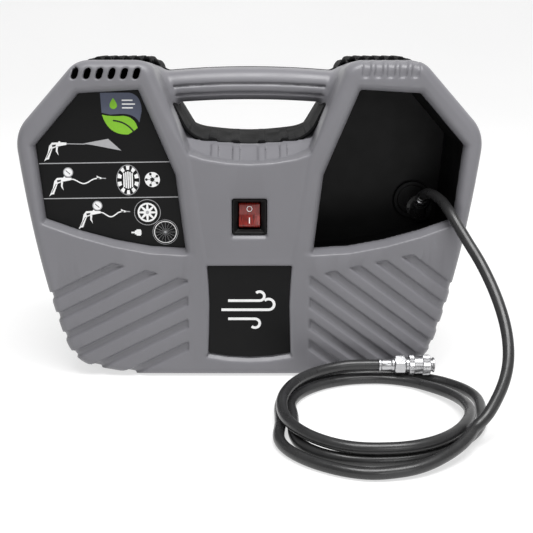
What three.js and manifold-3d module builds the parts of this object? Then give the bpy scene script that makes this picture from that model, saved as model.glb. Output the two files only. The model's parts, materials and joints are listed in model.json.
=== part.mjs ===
// A hand-carried oil-free air compressor with its delivery hose, in millimetres, +Z up.
// The front of the case faces -Y. The origin is under the middle of the case, on its flat bottom.
import * as THREE from 'three';
import { mergeVertices } from 'three/addons/utils/BufferGeometryUtils.js';
import Module from 'manifold-3d';

const wasm = await Module();
wasm.setup();

// ---------- driving dimensions ----------
const GAP = 0.3;                    // air between neighbouring pieces
const WALL = 3;                     // moulded wall of both shells
const FRONT_Y = -84;                // foremost face of the case
const BACK_Y = 84;                  // rearmost face of the case
const PARTING_Y = 0;                // where the two shells meet
const INNER_FRONT_Y = -74.5;        // inside face of the front wall
const INNER_BACK_Y = 80.5;          // inside face of the rear wall

const HALF_BASE = 104;              // half the length of the flat bottom
const SHOULDER_TOP = 281.5;         // top of the two shoulders
const WAIST_Z = 206.5;              // floor of the hand opening between the shoulders

const HANDLE = { low: 240.5, high: 266.5, front: -28, back: 16, reach: 78 };
const POCKET_Y = -70;               // floor of the pocket that holds the label panel
const PANEL_THICK = 1.4;
const TRAY = { front: -68.7, back: 4, wall: 2.5, taper: 4, sunk: 18 };
const PLATE_POCKET_Y = -79;         // floor of the nameplate pocket
const PLATE_THICK = 1.7;
const SWITCH_Z = 148;
const SWITCH_RECESS = { half: 22, halfHeight: 23, deep: 2 };
const BEZEL = { halfWidth: 15, halfHeight: 16, front: -81, back: -54, floor: 6 };
const ROCKER = { halfWidth: 9.4, halfHeight: 11.2, pivotY: -73, tilt: 11, clear: 0.5, rise: 2.1 };
const BOSS_R = 6;                   // screw bosses inside both shells
const SCREW_R = 2;
const WELL_R = 4.6;                 // wells in the back that the screw heads sit in
const REAR_VENTS = { x0: -120, x1: -60, count: 7, low: 45, pitch: 11, height: 5 };
const CORD_GLAND = { x: 120, z: 40, radius: 7, flange: 10, bore: 3.5 };

const MOTOR = { y: 8, z: 56 };      // motor axis, parallel to X
const SHAFT_R = 4;
const ARMATURE_R = 19.7;
const STATOR = { x0: -20, x1: 22, innerR: 31, outerR: 35.5, halfPole: 16, poleReach: 33 };
const BEARING = { outerR: 10.7, seatR: 11 };
const BRACKET = { x0: -53, x1: -47, half: 36, low: 14, footTop: 18, high: 125, shelf: 3.5 };
const MODULE = 1.25;                // gear tooth size
const PINION_TEETH = 12;
const GEAR_TEETH = 44;
const GEAR_X = [-65.5, -57.5];
const CRANK_Z = MOTOR.z + MODULE * (PINION_TEETH + GEAR_TEETH) / 2;
const THROW = 7;                    // crank radius, half of the stroke
const STROKE = 2 * THROW;
const ROD_LENGTH = 50;
const ROD_X = -72;                  // plane of the connecting rod and of the cylinder axis
const PIN_Z = CRANK_Z - THROW;      // crank pin at bottom dead centre
const WRIST_Z = PIN_Z + ROD_LENGTH;
const BORE_R = 21;
const CYLINDER = { low: 125.3, high: 173.7, wallR: 24, finR: 29, halfFlange: 27 };
const HEAD_BOLT_AT = 22;
const HEAD_BOLT_R = 2.1;

const HOSE_R = 4.65;                // rubber delivery hose
const HOSE_SIDES = 8;
const COIL = { x: 109, y: -182, top: 9.3, innerR: 66, outerR: 88, deep: 100 };
const COUPLER = { y: -101.5, z: 18.6, start: 114.1 };

const BEYOND = 400;                 // further out than any face of the object

// ---------- materials ----------
const material = (color, roughness, metalness = 0) =>
  new THREE.MeshStandardMaterial({ color, roughness, metalness });
const GREY_PLASTIC = material(0x76757b, 0.5);
const BLACK_PLASTIC = material(0x1d1d1e, 0.55);
const PANEL_BLACK = material(0x1a1a1b, 0.4);
const RED_LENS = material(0xc4281f, 0.25);
const RUBBER = material(0x1b1b1c, 0.65);
const ZINC = material(0xc9cacb, 0.25, 1);
const STEEL = material(0x9a9ca0, 0.35, 1);
const ALUMINIUM = material(0xb4b6b9, 0.45, 1);
const COPPER = material(0xb0642f, 0.35, 1);
const BRASS = material(0xb99a4f, 0.35, 1);
const NYLON = material(0xe6e2d4, 0.5);

// ---------- geometry helpers ----------
function solid(geometry) {
  const bare = new THREE.BufferGeometry();
  bare.setAttribute('position', geometry.getAttribute('position').clone());
  if (geometry.index) bare.setIndex(geometry.index.clone());
  const merged = mergeVertices(bare, 1e-4);
  const corners = merged.index.array;
  const kept = [];
  for (let i = 0; i < corners.length; i += 3) {
    const [a, b, c] = corners.slice(i, i + 3);
    if (a !== b && b !== c && c !== a) kept.push(a, b, c);
  }
  return new wasm.Manifold(new wasm.Mesh({
    numProp: 3,
    vertProperties: new Float32Array(merged.getAttribute('position').array),
    triVerts: new Uint32Array(kept),
  }));
}

function geometryOf(body) {
  const mesh = body.getMesh();
  const geometry = new THREE.BufferGeometry();
  geometry.setAttribute('position', new THREE.Float32BufferAttribute(mesh.vertProperties, 3));
  geometry.setIndex(new THREE.Uint32BufferAttribute(mesh.triVerts, 1));
  geometry.computeVertexNormals();
  return geometry;
}

const joined = (...bodies) => bodies.reduce((sum, body) => sum.add(body));
const cut = (body, ...tools) => tools.reduce((rest, tool) => rest.subtract(tool), body);

function box(x0, x1, y0, y1, z0, z1) {
  const geometry = new THREE.BoxGeometry(x1 - x0, y1 - y0, z1 - z0);
  geometry.translate((x0 + x1) / 2, (y0 + y1) / 2, (z0 + z1) / 2);
  return solid(geometry);
}

// A closed outline of [x, z] points pushed along Y.
function slab(points, y0, y1) {
  const shape = new THREE.Shape(points.map(([x, z]) => new THREE.Vector2(x, z)));
  const geometry = new THREE.ExtrudeGeometry(shape, { depth: y1 - y0, bevelEnabled: false });
  geometry.rotateX(Math.PI / 2);
  geometry.translate(0, y1, 0);
  return solid(geometry);
}

// A closed outline of [y, z] points pushed along X, with round holes [y, z, radius].
function slabX(points, x0, x1, holes = []) {
  const shape = new THREE.Shape(points.map(([y, z]) => new THREE.Vector2(y, z)));
  for (const [y, z, radius] of holes) {
    shape.holes.push(new THREE.Path().absarc(y, z, radius, 0, 2 * Math.PI, true));
  }
  const settings = { depth: x1 - x0, bevelEnabled: false, curveSegments: 10 };
  const geometry = new THREE.ExtrudeGeometry(shape, settings);
  geometry.applyMatrix4(new THREE.Matrix4().set(0, 0, 1, x0, 1, 0, 0, 0, 0, 1, 0, 0, 0, 0, 0, 1));
  return solid(geometry);
}

// A turned piece about an axis through [x, y, z]. Its closed profile is [distance along, radius].
function turned(profile, axis, [x, y, z], segments = 24) {
  const area = THREE.ShapeUtils.area(profile.map(([along, r]) => new THREE.Vector2(r, along)));
  const ordered = area < 0 ? [...profile].reverse() : [...profile];
  ordered.push(ordered[0]);
  const points = ordered.map(([along, r]) => new THREE.Vector2(r, along));
  const geometry = new THREE.LatheGeometry(points, segments);
  if (axis === 'x') geometry.rotateZ(-Math.PI / 2);
  if (axis === 'z') geometry.rotateX(Math.PI / 2);
  geometry.translate(x, y, z);
  return solid(geometry);
}

const rod = (from, to, radius, axis, at, segments) =>
  turned([[from, 0], [from, radius], [to, radius], [to, 0]], axis, at, segments);
const ring = (from, to, inner, outer, axis, at, segments) =>
  turned([[from, inner], [from, outer], [to, outer], [to, inner]], axis, at, segments);

// Moves each side of a closed outline outwards by distance, or inwards where it is negative.
function offset(points, distance) {
  const outline = THREE.ShapeUtils.area(points.map(([x, z]) => new THREE.Vector2(x, z))) < 0
    ? [...points].reverse() : points;
  return outline.map(([x, z], i) => {
    const [px, pz] = outline[(i + outline.length - 1) % outline.length];
    const [nx, nz] = outline[(i + 1) % outline.length];
    const before = new THREE.Vector2(z - pz, px - x).normalize();
    const after = new THREE.Vector2(nz - z, x - nx).normalize();
    const reach = distance / (1 + before.dot(after));
    return [x + (before.x + after.x) * reach, z + (before.y + after.y) * reach];
  });
}

// A skin through equally long outlines of [x, z] points, each at its own y, closed at both ends.
function loft(stations) {
  const count = stations[0].points.length;
  const positions = stations.flatMap(({ y, points }) => points.flatMap(([x, z]) => [x, y, z]));
  const faces = [];
  for (let s = 0; s + 1 < stations.length; s += 1) {
    for (let i = 0; i < count; i += 1) {
      const a = s * count + i;
      const b = s * count + (i + 1) % count;
      faces.push(a, b + count, b, a, a + count, b + count);
    }
  }
  const flat = ({ points }) => points.map(([x, z]) => new THREE.Vector2(x, z));
  for (const [a, b, c] of THREE.ShapeUtils.triangulateShape(flat(stations[0]), [])) faces.push(a, b, c);
  const last = (stations.length - 1) * count;
  for (const [a, b, c] of THREE.ShapeUtils.triangulateShape(flat(stations.at(-1)), [])) {
    faces.push(last + c, last + b, last + a);
  }
  const geometry = new THREE.BufferGeometry();
  geometry.setAttribute('position', new THREE.Float32BufferAttribute(positions, 3));
  geometry.setIndex(faces);
  return solid(geometry);
}

// A tube along a smooth line through points.
function tube(points, radius, sides, steps) {
  const shape = new THREE.Shape();
  for (let i = 0; i < sides; i += 1) {
    const angle = 2 * Math.PI * i / sides;
    const corner = [radius * Math.cos(angle), radius * Math.sin(angle)];
    if (i === 0) shape.moveTo(...corner); else shape.lineTo(...corner);
  }
  const extrudePath = new THREE.CatmullRomCurve3(points.map((point) => new THREE.Vector3(...point)));
  return solid(new THREE.ExtrudeGeometry(shape, { steps, bevelEnabled: false, extrudePath }));
}

const mirrored = (points) => points.map(([x, z]) => [-x, z]).reverse();

// ---------- the case's outline ----------
const smooth = (value) => THREE.MathUtils.smoothstep(value, 0, 1);

// The right half of the outline from the middle of the bottom round to the middle of the hand opening.
function halfOutline() {
  const half = new THREE.Path();
  half.moveTo(0, 0);
  half.lineTo(HALF_BASE, 0);
  half.lineTo(138, 6);
  half.quadraticCurveTo(160, 10, 167, 34);
  half.quadraticCurveTo(189, 106, 199.6, 204);
  half.quadraticCurveTo(201.4, 221, 190, 232.6);
  half.lineTo(153, 273.5);
  half.quadraticCurveTo(146, SHOULDER_TOP, 134, SHOULDER_TOP);
  half.lineTo(97, SHOULDER_TOP);
  half.quadraticCurveTo(84, SHOULDER_TOP, 79, 272);
  half.lineTo(66, 241);
  half.lineTo(58, 225);
  half.quadraticCurveTo(52.5, 213.5, 40, 210.5);
  half.quadraticCurveTo(20, WAIST_Z, 0, WAIST_Z);
  return half.getPoints(3).map(({ x, y }) => [x, y]);
}

const OUTLINE = [...halfOutline(), ...mirrored(halfOutline().slice(1, -1))];
// The stretch of the outline that the hand reaches through, from right to left.
const WAIST = OUTLINE.filter(([x, z]) => Math.abs(x) < 67 && z > 200);

// The outline at depth y, pulled in by inset, with the shoulders lowered by drop.
function station(y, inset, drop) {
  const points = offset(OUTLINE, -inset).map(([x, z]) => [x, z - drop * smooth((z - 215) / 50)]);
  return { y, points };
}

// ---------- openings in the front ----------
const LABEL_OUTLINE = [
  [-145, 254], [-94, 257], [-75, 211], [-64, 184], [-56.4, 117.4],
  [-87, 119.2], [-118, 125], [-149, 133.6], [-178.5, 144.3], [-184.3, 209.5],
];
const BAY_OUTLINE = mirrored(LABEL_OUTLINE);
const NAMEPLATE_OUTLINE = [
  [-37.4, 104], [-36.1, 86], [-35.5, 68], [-36.3, 40], [-37, 22],
  [-19, 19], [0, 18], [19, 19], [37, 22], [36.3, 40], [35.5, 68], [36.1, 86], [37.4, 104],
];
const SCOOP_OUTLINE = [
  [-80, 300], [-79, 272], [-66, 241], [-56, 212], [-52, 203.5], [-40, 198.5], [-20, 194], [0, 192.4],
  [20, 194], [40, 198.5], [52, 203.5], [56, 212], [66, 241], [79, 272], [80, 300],
];

// The hand scoop: the waist falls away towards the outside, on the front and on the back.
function scoop(outsideY, insideY, margin) {
  const past = outsideY * 1.2;
  const low = 188 - margin;
  const high = WAIST_Z + 0.6 - margin;
  const section = [[past, low - 4], [outsideY, low], [insideY, high], [insideY, BEYOND], [past, BEYOND]];
  const wedge = slabX(section, -BEYOND, BEYOND);
  const [y0, y1] = [Math.min(past, insideY), Math.max(past, insideY)];
  return slab(offset(SCOOP_OUTLINE, margin), y0, y1).intersect(wedge);
}

// A bar along the handle, shrunk on every side by margin.
function handleBar(margin, y0, y1) {
  const { low, high, front, back, reach } = HANDLE;
  const soft = 7;
  const [l, h, f, b] = [low + margin, high - margin, front + margin, back - margin];
  const section = [
    [f, l + soft], [f + soft, l], [b - soft, l], [b, l + soft],
    [b, h - soft], [b - soft, h], [f + soft, h], [f, h - soft],
  ];
  return slabX(section, -reach - margin, reach + margin).intersect(box(-BEYOND, BEYOND, y0, y1, 0, BEYOND));
}

const SCREWS = [-1, 1].flatMap((side) => [[side * 165, 92], [side * 140, 28], [side * 30, 115]]);

// Ventilation slots through the rounded top of the left shoulder, leaning a little.
const SHOULDER_VENTS = {
  firstX: -149, pitch: 10.25, count: 6, low: 265.5, high: 277, half: 2.2, lean: 2.8,
};

function shoulderVents() {
  const { firstX, pitch, count, low, high, half, lean } = SHOULDER_VENTS;
  return Array.from({ length: count }, (_, i) => {
    const x = firstX + i * pitch;
    const slot = [[x - half, low], [x + half, low], [x + half + lean, high], [x - half + lean, high]];
    return slab(slot, -95, -58);
  });
}

// Both lower corners carry a field of diagonal grooves that run out over the edge of the case.
// Each point is where the upper edge of one groove ends near the middle of the case.
const LEFT_GROOVES = [[-118, 107.5], [-88, 101], [-60, 93], [-54, 74.5], [-54, 55.7], [-54, 36]];
const RIGHT_GROOVES = [
  [146, 111.5], [124, 106], [100, 101.5], [77, 97], [54, 91], [54, 72.5], [54, 53.7], [54, 34.7],
];
const GROOVE = { width: 7, floorY: FRONT_Y + 4, reach: 150, leftFall: 26.5, rightFall: 35.5 };

function groove([x0, z0], [x1, z1]) {
  const reach = x1 > x0 ? GROOVE.width : -GROOVE.width;
  const across = new THREE.Vector2(z1 - z0, x0 - x1).normalize().multiplyScalar(reach);
  const points = [[x0, z0], [x0 + across.x, z0 + across.y], [x1 + across.x, z1 + across.y], [x1, z1]];
  return slab(points, FRONT_Y - 6, GROOVE.floorY);
}

function grooves() {
  const fan = (ends, side, fall) => ends.map(([x, z]) => {
    const drop = GROOVE.reach * Math.tan(THREE.MathUtils.degToRad(fall));
    return groove([x + side * GROOVE.reach, z - drop], [x, z]);
  });
  return [...fan(LEFT_GROOVES, -1, GROOVE.leftFall), ...fan(RIGHT_GROOVES, 1, GROOVE.rightFall)];
}

// The free stretch: out of the bay, over its lip, down the right side and onto the coil.
const HOSE_RUN = [
  [159.3, -12.8, 144.6], [159.5, -20, 151.5], [161, -33, 158.6], [165, -48, 160.2],
  [169.6, -64, 158], [173.2, -83, 152.9], [178.5, -96, 143.8], [184.5, -109, 133.4],
  [192.3, -125, 120.4], [198.9, -142, 106], [203.4, -158, 92], [205.8, -172, 79],
  [206, -184, 67], [204.2, -194, 56], [200, -203, 45], [193.4, -211, 34],
  [184.3, -219.5, 23], [171.2, -230, 15.4],
];

// ---------- the two shells ----------
// Each row of a skin or hollow is [y, how far the outline is pulled in, how far the shoulders drop].
const FRONT_SKIN = [[-84, 8, 0], [-80.5, 2.8, 0], [-72, 0, 0], [0, 0, 6]];
const FRONT_HOLLOW = [[INNER_FRONT_Y, 6, 0], [-66, 3, 0.6], [2, 3, 6.2]];
const REAR_SKIN = [[0, 0, 3], [40, 0.6, 5], [72, 4.5, 11], [84, 12, 17]];
const REAR_HOLLOW = [[-1, 3, 3], [40, 3.6, 5], [70, 7.5, 11], [INNER_BACK_Y, 13, 16]];
const lofted = (stations) => loft(stations.map(([y, inset, drop]) => station(y, inset, drop)));

const SLEEVE_FRONT_Y = -50;         // front edge of the rear shell's sleeve under the hand opening

// The strip under the hand opening, from depth near to depth far below the waist line.
function waistStrip(near, far, y0, y1) {
  const line = (depth) => WAIST.map(([x, z], i) => {
    const [px, pz] = WAIST[Math.max(i - 1, 0)];
    const [nx, nz] = WAIST[Math.min(i + 1, WAIST.length - 1)];
    const out = new THREE.Vector2(nz - pz, px - nx).normalize();
    return [x - out.x * depth, z - out.y * depth];
  });
  return slab([...line(near), ...line(far).reverse()], y0, y1);
}

const switchHole = (half, halfHeight, y0, y1) =>
  box(-half, half, y0, y1, SWITCH_Z - halfHeight, SWITCH_Z + halfHeight);

function frontShell() {
  const hollow = cut(
    lofted(FRONT_HOLLOW),
    slab(offset(LABEL_OUTLINE, WALL), FRONT_Y, POCKET_Y + WALL),
    slab(offset(BAY_OUTLINE, WALL), FRONT_Y, TRAY.front - GAP),
    scoop(FRONT_Y, SLEEVE_FRONT_Y, WALL),
  );
  const edgeY = PARTING_Y - GAP / 2;
  const bar = handleBar(0, HANDLE.front, edgeY);
  const bosses = SCREWS.map(([x, z]) => rod(-76, 10, BOSS_R, 'y', [x, 0, z], 8));
  const pilots = SCREWS.map(([x, z]) => rod(-64, 11, SCREW_R + GAP, 'y', [x, 0, z], 8));
  const shell = cut(lofted(FRONT_SKIN), hollow, box(-BEYOND, BEYOND, edgeY, BEYOND, -BEYOND, BEYOND));
  const past = FRONT_Y - 6;
  return cut(
    joined(shell, bar, ...bosses),
    handleBar(WALL, HANDLE.front + WALL, PARTING_Y + 5),
    ...pilots,
    scoop(FRONT_Y, SLEEVE_FRONT_Y, 0),
    waistStrip(-1, WALL + GAP, SLEEVE_FRONT_Y, PARTING_Y + 1),
    slab(LABEL_OUTLINE, past, POCKET_Y),
    slab(BAY_OUTLINE, past, 0),
    slab(NAMEPLATE_OUTLINE, past, PLATE_POCKET_Y),
    switchHole(SWITCH_RECESS.half, SWITCH_RECESS.halfHeight, past, FRONT_Y + SWITCH_RECESS.deep),
    switchHole(BEZEL.halfWidth + GAP, BEZEL.halfHeight + GAP, past, -60),
    ...shoulderVents(),
    ...grooves(),
  );
}

const REAR_SCOOP_Y = 45;            // where the hand scoop of the back begins

function rearShell() {
  const hollow = cut(lofted(REAR_HOLLOW), scoop(BACK_Y, REAR_SCOOP_Y, WALL));
  const edgeY = PARTING_Y + GAP / 2;
  const shell = cut(lofted(REAR_SKIN), hollow, box(-BEYOND, BEYOND, -BEYOND, edgeY, -BEYOND, BEYOND));
  const sleeve = waistStrip(0, WALL, SLEEVE_FRONT_Y + GAP, PARTING_Y + 10);
  const bar = handleBar(0, edgeY, HANDLE.back);
  const bosses = SCREWS.map(([x, z]) => rod(14, 82, BOSS_R + 1.5, 'y', [x, 0, z], 8));
  const wells = SCREWS.flatMap(([x, z]) => [
    rod(30, 90, WELL_R, 'y', [x, 0, z], 8),
    rod(10, 32, SCREW_R + GAP, 'y', [x, 0, z], 8),
  ]);
  const { x0, x1, count, low, pitch, height } = REAR_VENTS;
  const vents = Array.from({ length: count }, (_, i) =>
    box(x0, x1, 70, 90, low + i * pitch, low + i * pitch + height));
  return cut(
    joined(shell, sleeve, bar, ...bosses),
    handleBar(WALL, PARTING_Y - 5, HANDLE.back - WALL),
    scoop(BACK_Y, REAR_SCOOP_Y, 0),
    rod(60, 90, CORD_GLAND.radius + GAP, 'y', [CORD_GLAND.x, 0, CORD_GLAND.z], 16),
    ...wells,
    ...vents,
  );
}

// ---------- pieces fixed to the shells ----------
const PANEL_CLEAR = 0.4;
const inset = (outline, thick, floorY) =>
  slab(offset(outline, -PANEL_CLEAR), floorY - GAP - thick, floorY - GAP);
const labelPanel = () => inset(LABEL_OUTLINE, PANEL_THICK, POCKET_Y);
const nameplate = () => inset(NAMEPLATE_OUTLINE, PLATE_THICK, PLATE_POCKET_Y);

const HOSE_EXIT = { x: 160, z: 138, hole: 8 };

// The tray's floor lies lower than the lip of the bay.
function storageTray() {
  const sunken = BAY_OUTLINE.map(([x, z]) => [x, z < 150 ? z - TRAY.sunk : z]);
  const back = TRAY.back - TRAY.wall;
  const outer = loft([
    { y: TRAY.front, points: offset(sunken, WALL) },
    { y: TRAY.back, points: offset(sunken, WALL - TRAY.taper) },
  ]);
  const inner = loft([
    { y: TRAY.front + TRAY.wall, points: offset(sunken, 0.3) },
    { y: back, points: offset(sunken, WALL - TRAY.taper - TRAY.wall) },
  ]);
  const mouth = slab(offset(BAY_OUTLINE, 0.3), TRAY.front - 1, TRAY.front + TRAY.wall + 1);
  const hole = rod(-10, 10, HOSE_EXIT.hole + GAP, 'y', [HOSE_EXIT.x, 0, HOSE_EXIT.z], 16);
  return cut(outer, inner, mouth, hole);
}

// A rubber gland through the back of the bay, with a short sleeve that the hose leaves at a slant.
function hoseGland() {
  const back = TRAY.back - TRAY.wall - GAP;
  const { x, z, hole } = HOSE_EXIT;
  const profile = [
    [back - 4, 0], [back - 4, 9], [back - 3, 12], [back, 12.6], [back, hole], [12, hole], [12, 0],
  ];
  const body = turned(profile, 'y', [x, 0, z], 16);
  const [start, next] = HOSE_RUN.map((point) => new THREE.Vector3(...point));
  const along = next.clone().sub(start).normalize();
  const length = 16;
  const sleeve = new THREE.CylinderGeometry(6.4, 8.2, length, 16);
  sleeve.applyQuaternion(new THREE.Quaternion().setFromUnitVectors(new THREE.Vector3(0, 1, 0), along));
  sleeve.translate(...start.addScaledVector(along, -length / 2 - GAP).toArray());
  return body.add(solid(sleeve).subtract(box(140, 180, back, 30, 100, 180)));
}

function switchBezel() {
  const { halfWidth, halfHeight, front, back, floor } = BEZEL;
  const wellHalf = ROCKER.halfWidth + ROCKER.clear;
  const wellHalfHeight = ROCKER.halfHeight + ROCKER.rise;
  const well = switchHole(wellHalf, wellHalfHeight, front - 1, back + floor);
  return switchHole(halfWidth, halfHeight, front, back).subtract(well);
}

// A rocker with a shallow V across its face, resting with its upper half pressed in.
function switchRocker() {
  const { halfWidth, halfHeight, pivotY, tilt } = ROCKER;
  const level = [
    [-81, -halfHeight], [-78.6, -2], [-78.6, 2], [-81, halfHeight],
    [-70, halfHeight - 2.5], [-66.5, 0], [-70, 2.5 - halfHeight],
  ];
  const turn = THREE.MathUtils.degToRad(-tilt);
  const points = level.map(([y, z]) => {
    const arm = new THREE.Vector2(y - pivotY, z).rotateAround(new THREE.Vector2(), turn);
    return [pivotY + arm.x, SWITCH_Z + arm.y];
  });
  return slabX(points, -halfWidth, halfWidth);
}

const SCREW_PROFILE = [[-60, 0], [-60, SCREW_R], [30.4, SCREW_R], [30.4, 3.8], [33, 3.8], [33, 0]];
const caseScrew = (x, z) => turned(SCREW_PROFILE, 'y', [x, 0, z], 8);

function cordGland() {
  const { x, z, radius, flange, bore } = CORD_GLAND;
  const wall = INNER_BACK_Y - GAP;
  const profile = [
    [74, bore], [74, flange], [wall, flange], [wall, radius], [BACK_Y, radius - 1], [BACK_Y, bore],
  ];
  return turned(profile, 'y', [x, 0, z], 14);
}

// ---------- motor ----------
const ON_MOTOR = [0, MOTOR.y, MOTOR.z];
const ON_CRANK = [0, MOTOR.y, CRANK_Z];
const MOUNT_LOW = WALL + 1.6;       // top of the shell's floor under the rubber mounts
const MOUNT_HIGH = BRACKET.low - GAP;

const armatureRoom = () => rod(-60, 60, ARMATURE_R + 0.8, 'x', ON_MOTOR, 32);

function statorCore() {
  const { x0, x1, innerR, outerR, halfPole, poleReach } = STATOR;
  const [near, far] = [MOTOR.y - halfPole, MOTOR.y + halfPole];
  const pole = (low, high) => box(x0, x1, near, far, MOTOR.z + low, MOTOR.z + high);
  const yoke = ring(x0, x1, innerR, outerR, 'x', ON_MOTOR, 32);
  return cut(joined(yoke, pole(15, poleReach), pole(-poleReach, -15)), armatureRoom());
}

// A field coil is a rectangular loop of wire around one pole of the stator.
function fieldCoil(side) {
  const { x0, x1, innerR, halfPole } = STATOR;
  const near = MOTOR.z + side * 13;
  const far = MOTOR.z + side * 26;
  const [low, high] = [Math.min(near, far), Math.max(near, far)];
  const poleRoom = halfPole + GAP;
  const loop = cut(
    box(x0 - 9, x1 + 9, MOTOR.y - 24, MOTOR.y + 24, low, high),
    box(x0 - GAP, x1 + GAP, MOTOR.y - poleRoom, MOTOR.y + poleRoom, low - 1, high + 1),
    armatureRoom(),
  );
  const insideStack = rod(x0 - 1, x1 + 1, innerR - GAP, 'x', ON_MOTOR, 32);
  const endTurns = [[-40, x0 - GAP], [x1 + GAP, 40]].map(([from, to]) => box(from, to, -60, 60, 0, 120));
  return loop.intersect(joined(insideStack, ...endTurns));
}

const motorShaft = () => rod(-67, 78, SHAFT_R, 'x', ON_MOTOR, 16);
const commutator = () => ring(36, 50, SHAFT_R + GAP, 12, 'x', ON_MOTOR, 20);

function armature() {
  const { x0, x1 } = STATOR;
  const profile = [
    [x0 - 7, SHAFT_R + GAP], [x0 - 7, 14], [x0, 17], [x0, ARMATURE_R],
    [x1, ARMATURE_R], [x1, 17], [x1 + 7, 14], [x1 + 7, SHAFT_R + GAP],
  ];
  return turned(profile, 'x', ON_MOTOR, 16);
}

const FAN = { blades: 7, disc: [-41, -39], hub: [-41, -30], outerR: 28, hubR: 12 };

function coolingFan() {
  const blades = Array.from({ length: FAN.blades }, (_, i) => {
    const blade = new THREE.BoxGeometry(9, 1.6, 17);
    blade.rotateX(THREE.MathUtils.degToRad(25));
    blade.translate(-34.5, 0, 19.5);
    blade.rotateX(2 * Math.PI * i / FAN.blades);
    blade.translate(0, MOTOR.y, MOTOR.z);
    return solid(blade);
  });
  const disc = ring(...FAN.disc, SHAFT_R + GAP, FAN.outerR, 'x', ON_MOTOR, 20);
  const hub = ring(...FAN.hub, SHAFT_R + GAP, FAN.hubR, 'x', ON_MOTOR, 14);
  return joined(disc, hub, ...blades);
}

function brushHolder(side) {
  const near = MOTOR.y + side * 12.6;
  const far = MOTOR.y + side * 29;
  return box(38, 48, Math.min(near, far), Math.max(near, far), MOTOR.z - 4, MOTOR.z + 4);
}

const bearing = (from, to, at) => ring(from, to, SHAFT_R + GAP, BEARING.outerR, 'x', at, 16);
const bearingSeat = (from, to, at) => rod(from, to, BEARING.seatR, 'x', at, 20);

// An upright plate carries both shafts, and a shelf on top of it carries the cylinder.
function gearBracket() {
  const { x0, x1, half, low, footTop, high, shelf } = BRACKET;
  const [near, far] = [MOTOR.y - half, MOTOR.y + half];
  const plate = box(x0, x1, near, far, low, high);
  const foot = box(x0 - 20, x1 + 6, near, far, low, footTop);
  const top = box(ROD_X - CYLINDER.halfFlange, x1, MOTOR.y - 28, MOTOR.y + 28, high - shelf, high);
  return cut(
    joined(plate, foot, top),
    bearingSeat(-60, -40, ON_MOTOR),
    bearingSeat(-60, -40, ON_CRANK),
    rod(110, 130, BORE_R - 2, 'z', [ROD_X, MOTOR.y, 0], 24),
  );
}

function endBracket() {
  const { half, low, footTop } = BRACKET;
  const plate = box(64, 68, MOTOR.y - 30, MOTOR.y + 30, low, MOTOR.z + 24);
  const foot = box(60, 80, MOTOR.y - half, MOTOR.y + half, low, footTop);
  return cut(joined(plate, foot), bearingSeat(50, 90, ON_MOTOR));
}

const MOUNT_PROFILE = [[MOUNT_LOW, 0], [MOUNT_LOW, 7], [9, 5.5], [MOUNT_HIGH, 7], [MOUNT_HIGH, 0]];
const rubberMount = (x, y) => turned(MOUNT_PROFILE, 'z', [x, y, 0], 14);

// ---------- gears, crank and piston ----------
function gear(teeth, x0, x1, hole, at, firstTooth) {
  const pitchR = MODULE * teeth / 2;
  const step = 2 * Math.PI / teeth;
  // Root and tip of a tooth: [radius, half the tooth's thickness there as a share of the pitch].
  const flank = [[pitchR - 1.25 * MODULE, 0.3], [pitchR + 0.95 * MODULE, 0.1]];
  const outline = [];
  for (let tooth = 0; tooth < teeth; tooth += 1) {
    const middle = firstTooth + tooth * step;
    for (const [r, share] of flank) outline.push([r, middle - share * step]);
    for (const [r, share] of [...flank].reverse()) outline.push([r, middle + share * step]);
  }
  const points = outline.map(([r, angle]) => [at[1] + r * Math.cos(angle), at[2] + r * Math.sin(angle)]);
  return slabX(points, x0, x1, [[at[1], at[2], hole]]);
}

const pinion = () => gear(PINION_TEETH, GEAR_X[0] - 1, GEAR_X[1] + 1, SHAFT_R + 0.1, ON_MOTOR, Math.PI / 2);

// The crank gear has its stub shaft on the right, and a gap between teeth facing the pinion.
function crankGear() {
  const wheel = gear(GEAR_TEETH, GEAR_X[0], GEAR_X[1], 2, ON_CRANK, Math.PI / 2 + Math.PI / GEAR_TEETH);
  const stub = rod(GEAR_X[0] + 1, -44, SHAFT_R, 'x', ON_CRANK, 16);
  const weight = [[-16, 4], [16, 4], [20, 12], [11, 22], [-11, 22], [-20, 12]];
  const placed = weight.map(([y, z]) => [MOTOR.y + y, CRANK_Z + z]);
  return joined(wheel, stub, slabX(placed, GEAR_X[0] - 1.5, GEAR_X[0] + 1));
}

const crankPin = () => rod(-79, GEAR_X[0] - GAP, 4, 'x', [0, MOTOR.y, PIN_Z], 16);

function connectingRod() {
  const arc = (z, radius, from, to) => Array.from({ length: 9 }, (_, i) => {
    const angle = THREE.MathUtils.degToRad(from + (to - from) * i / 8);
    return [MOTOR.y + radius * Math.cos(angle), z + radius * Math.sin(angle)];
  });
  const outline = [...arc(PIN_Z, 9, 130, 410), ...arc(WRIST_Z, 7, -50, 230)];
  return slabX(outline, ROD_X - 4, ROD_X + 4, [[MOTOR.y, PIN_Z, 4.3], [MOTOR.y, WRIST_Z, 3.5]]);
}

const PIN_R = 3;                    // wrist pin
const PISTON = {
  low: WRIST_Z - 7,
  crownInside: WRIST_Z + 7 + STROKE + 0.5,
  crown: 3.5,
  wallR: 17.5,
  outerR: BORE_R - GAP,
  grooveR: 19,
};
const SEAL_Z = [PISTON.crownInside - 1, PISTON.crownInside + 1.6];
const ON_CYLINDER = [ROD_X, MOTOR.y, 0];

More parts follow.
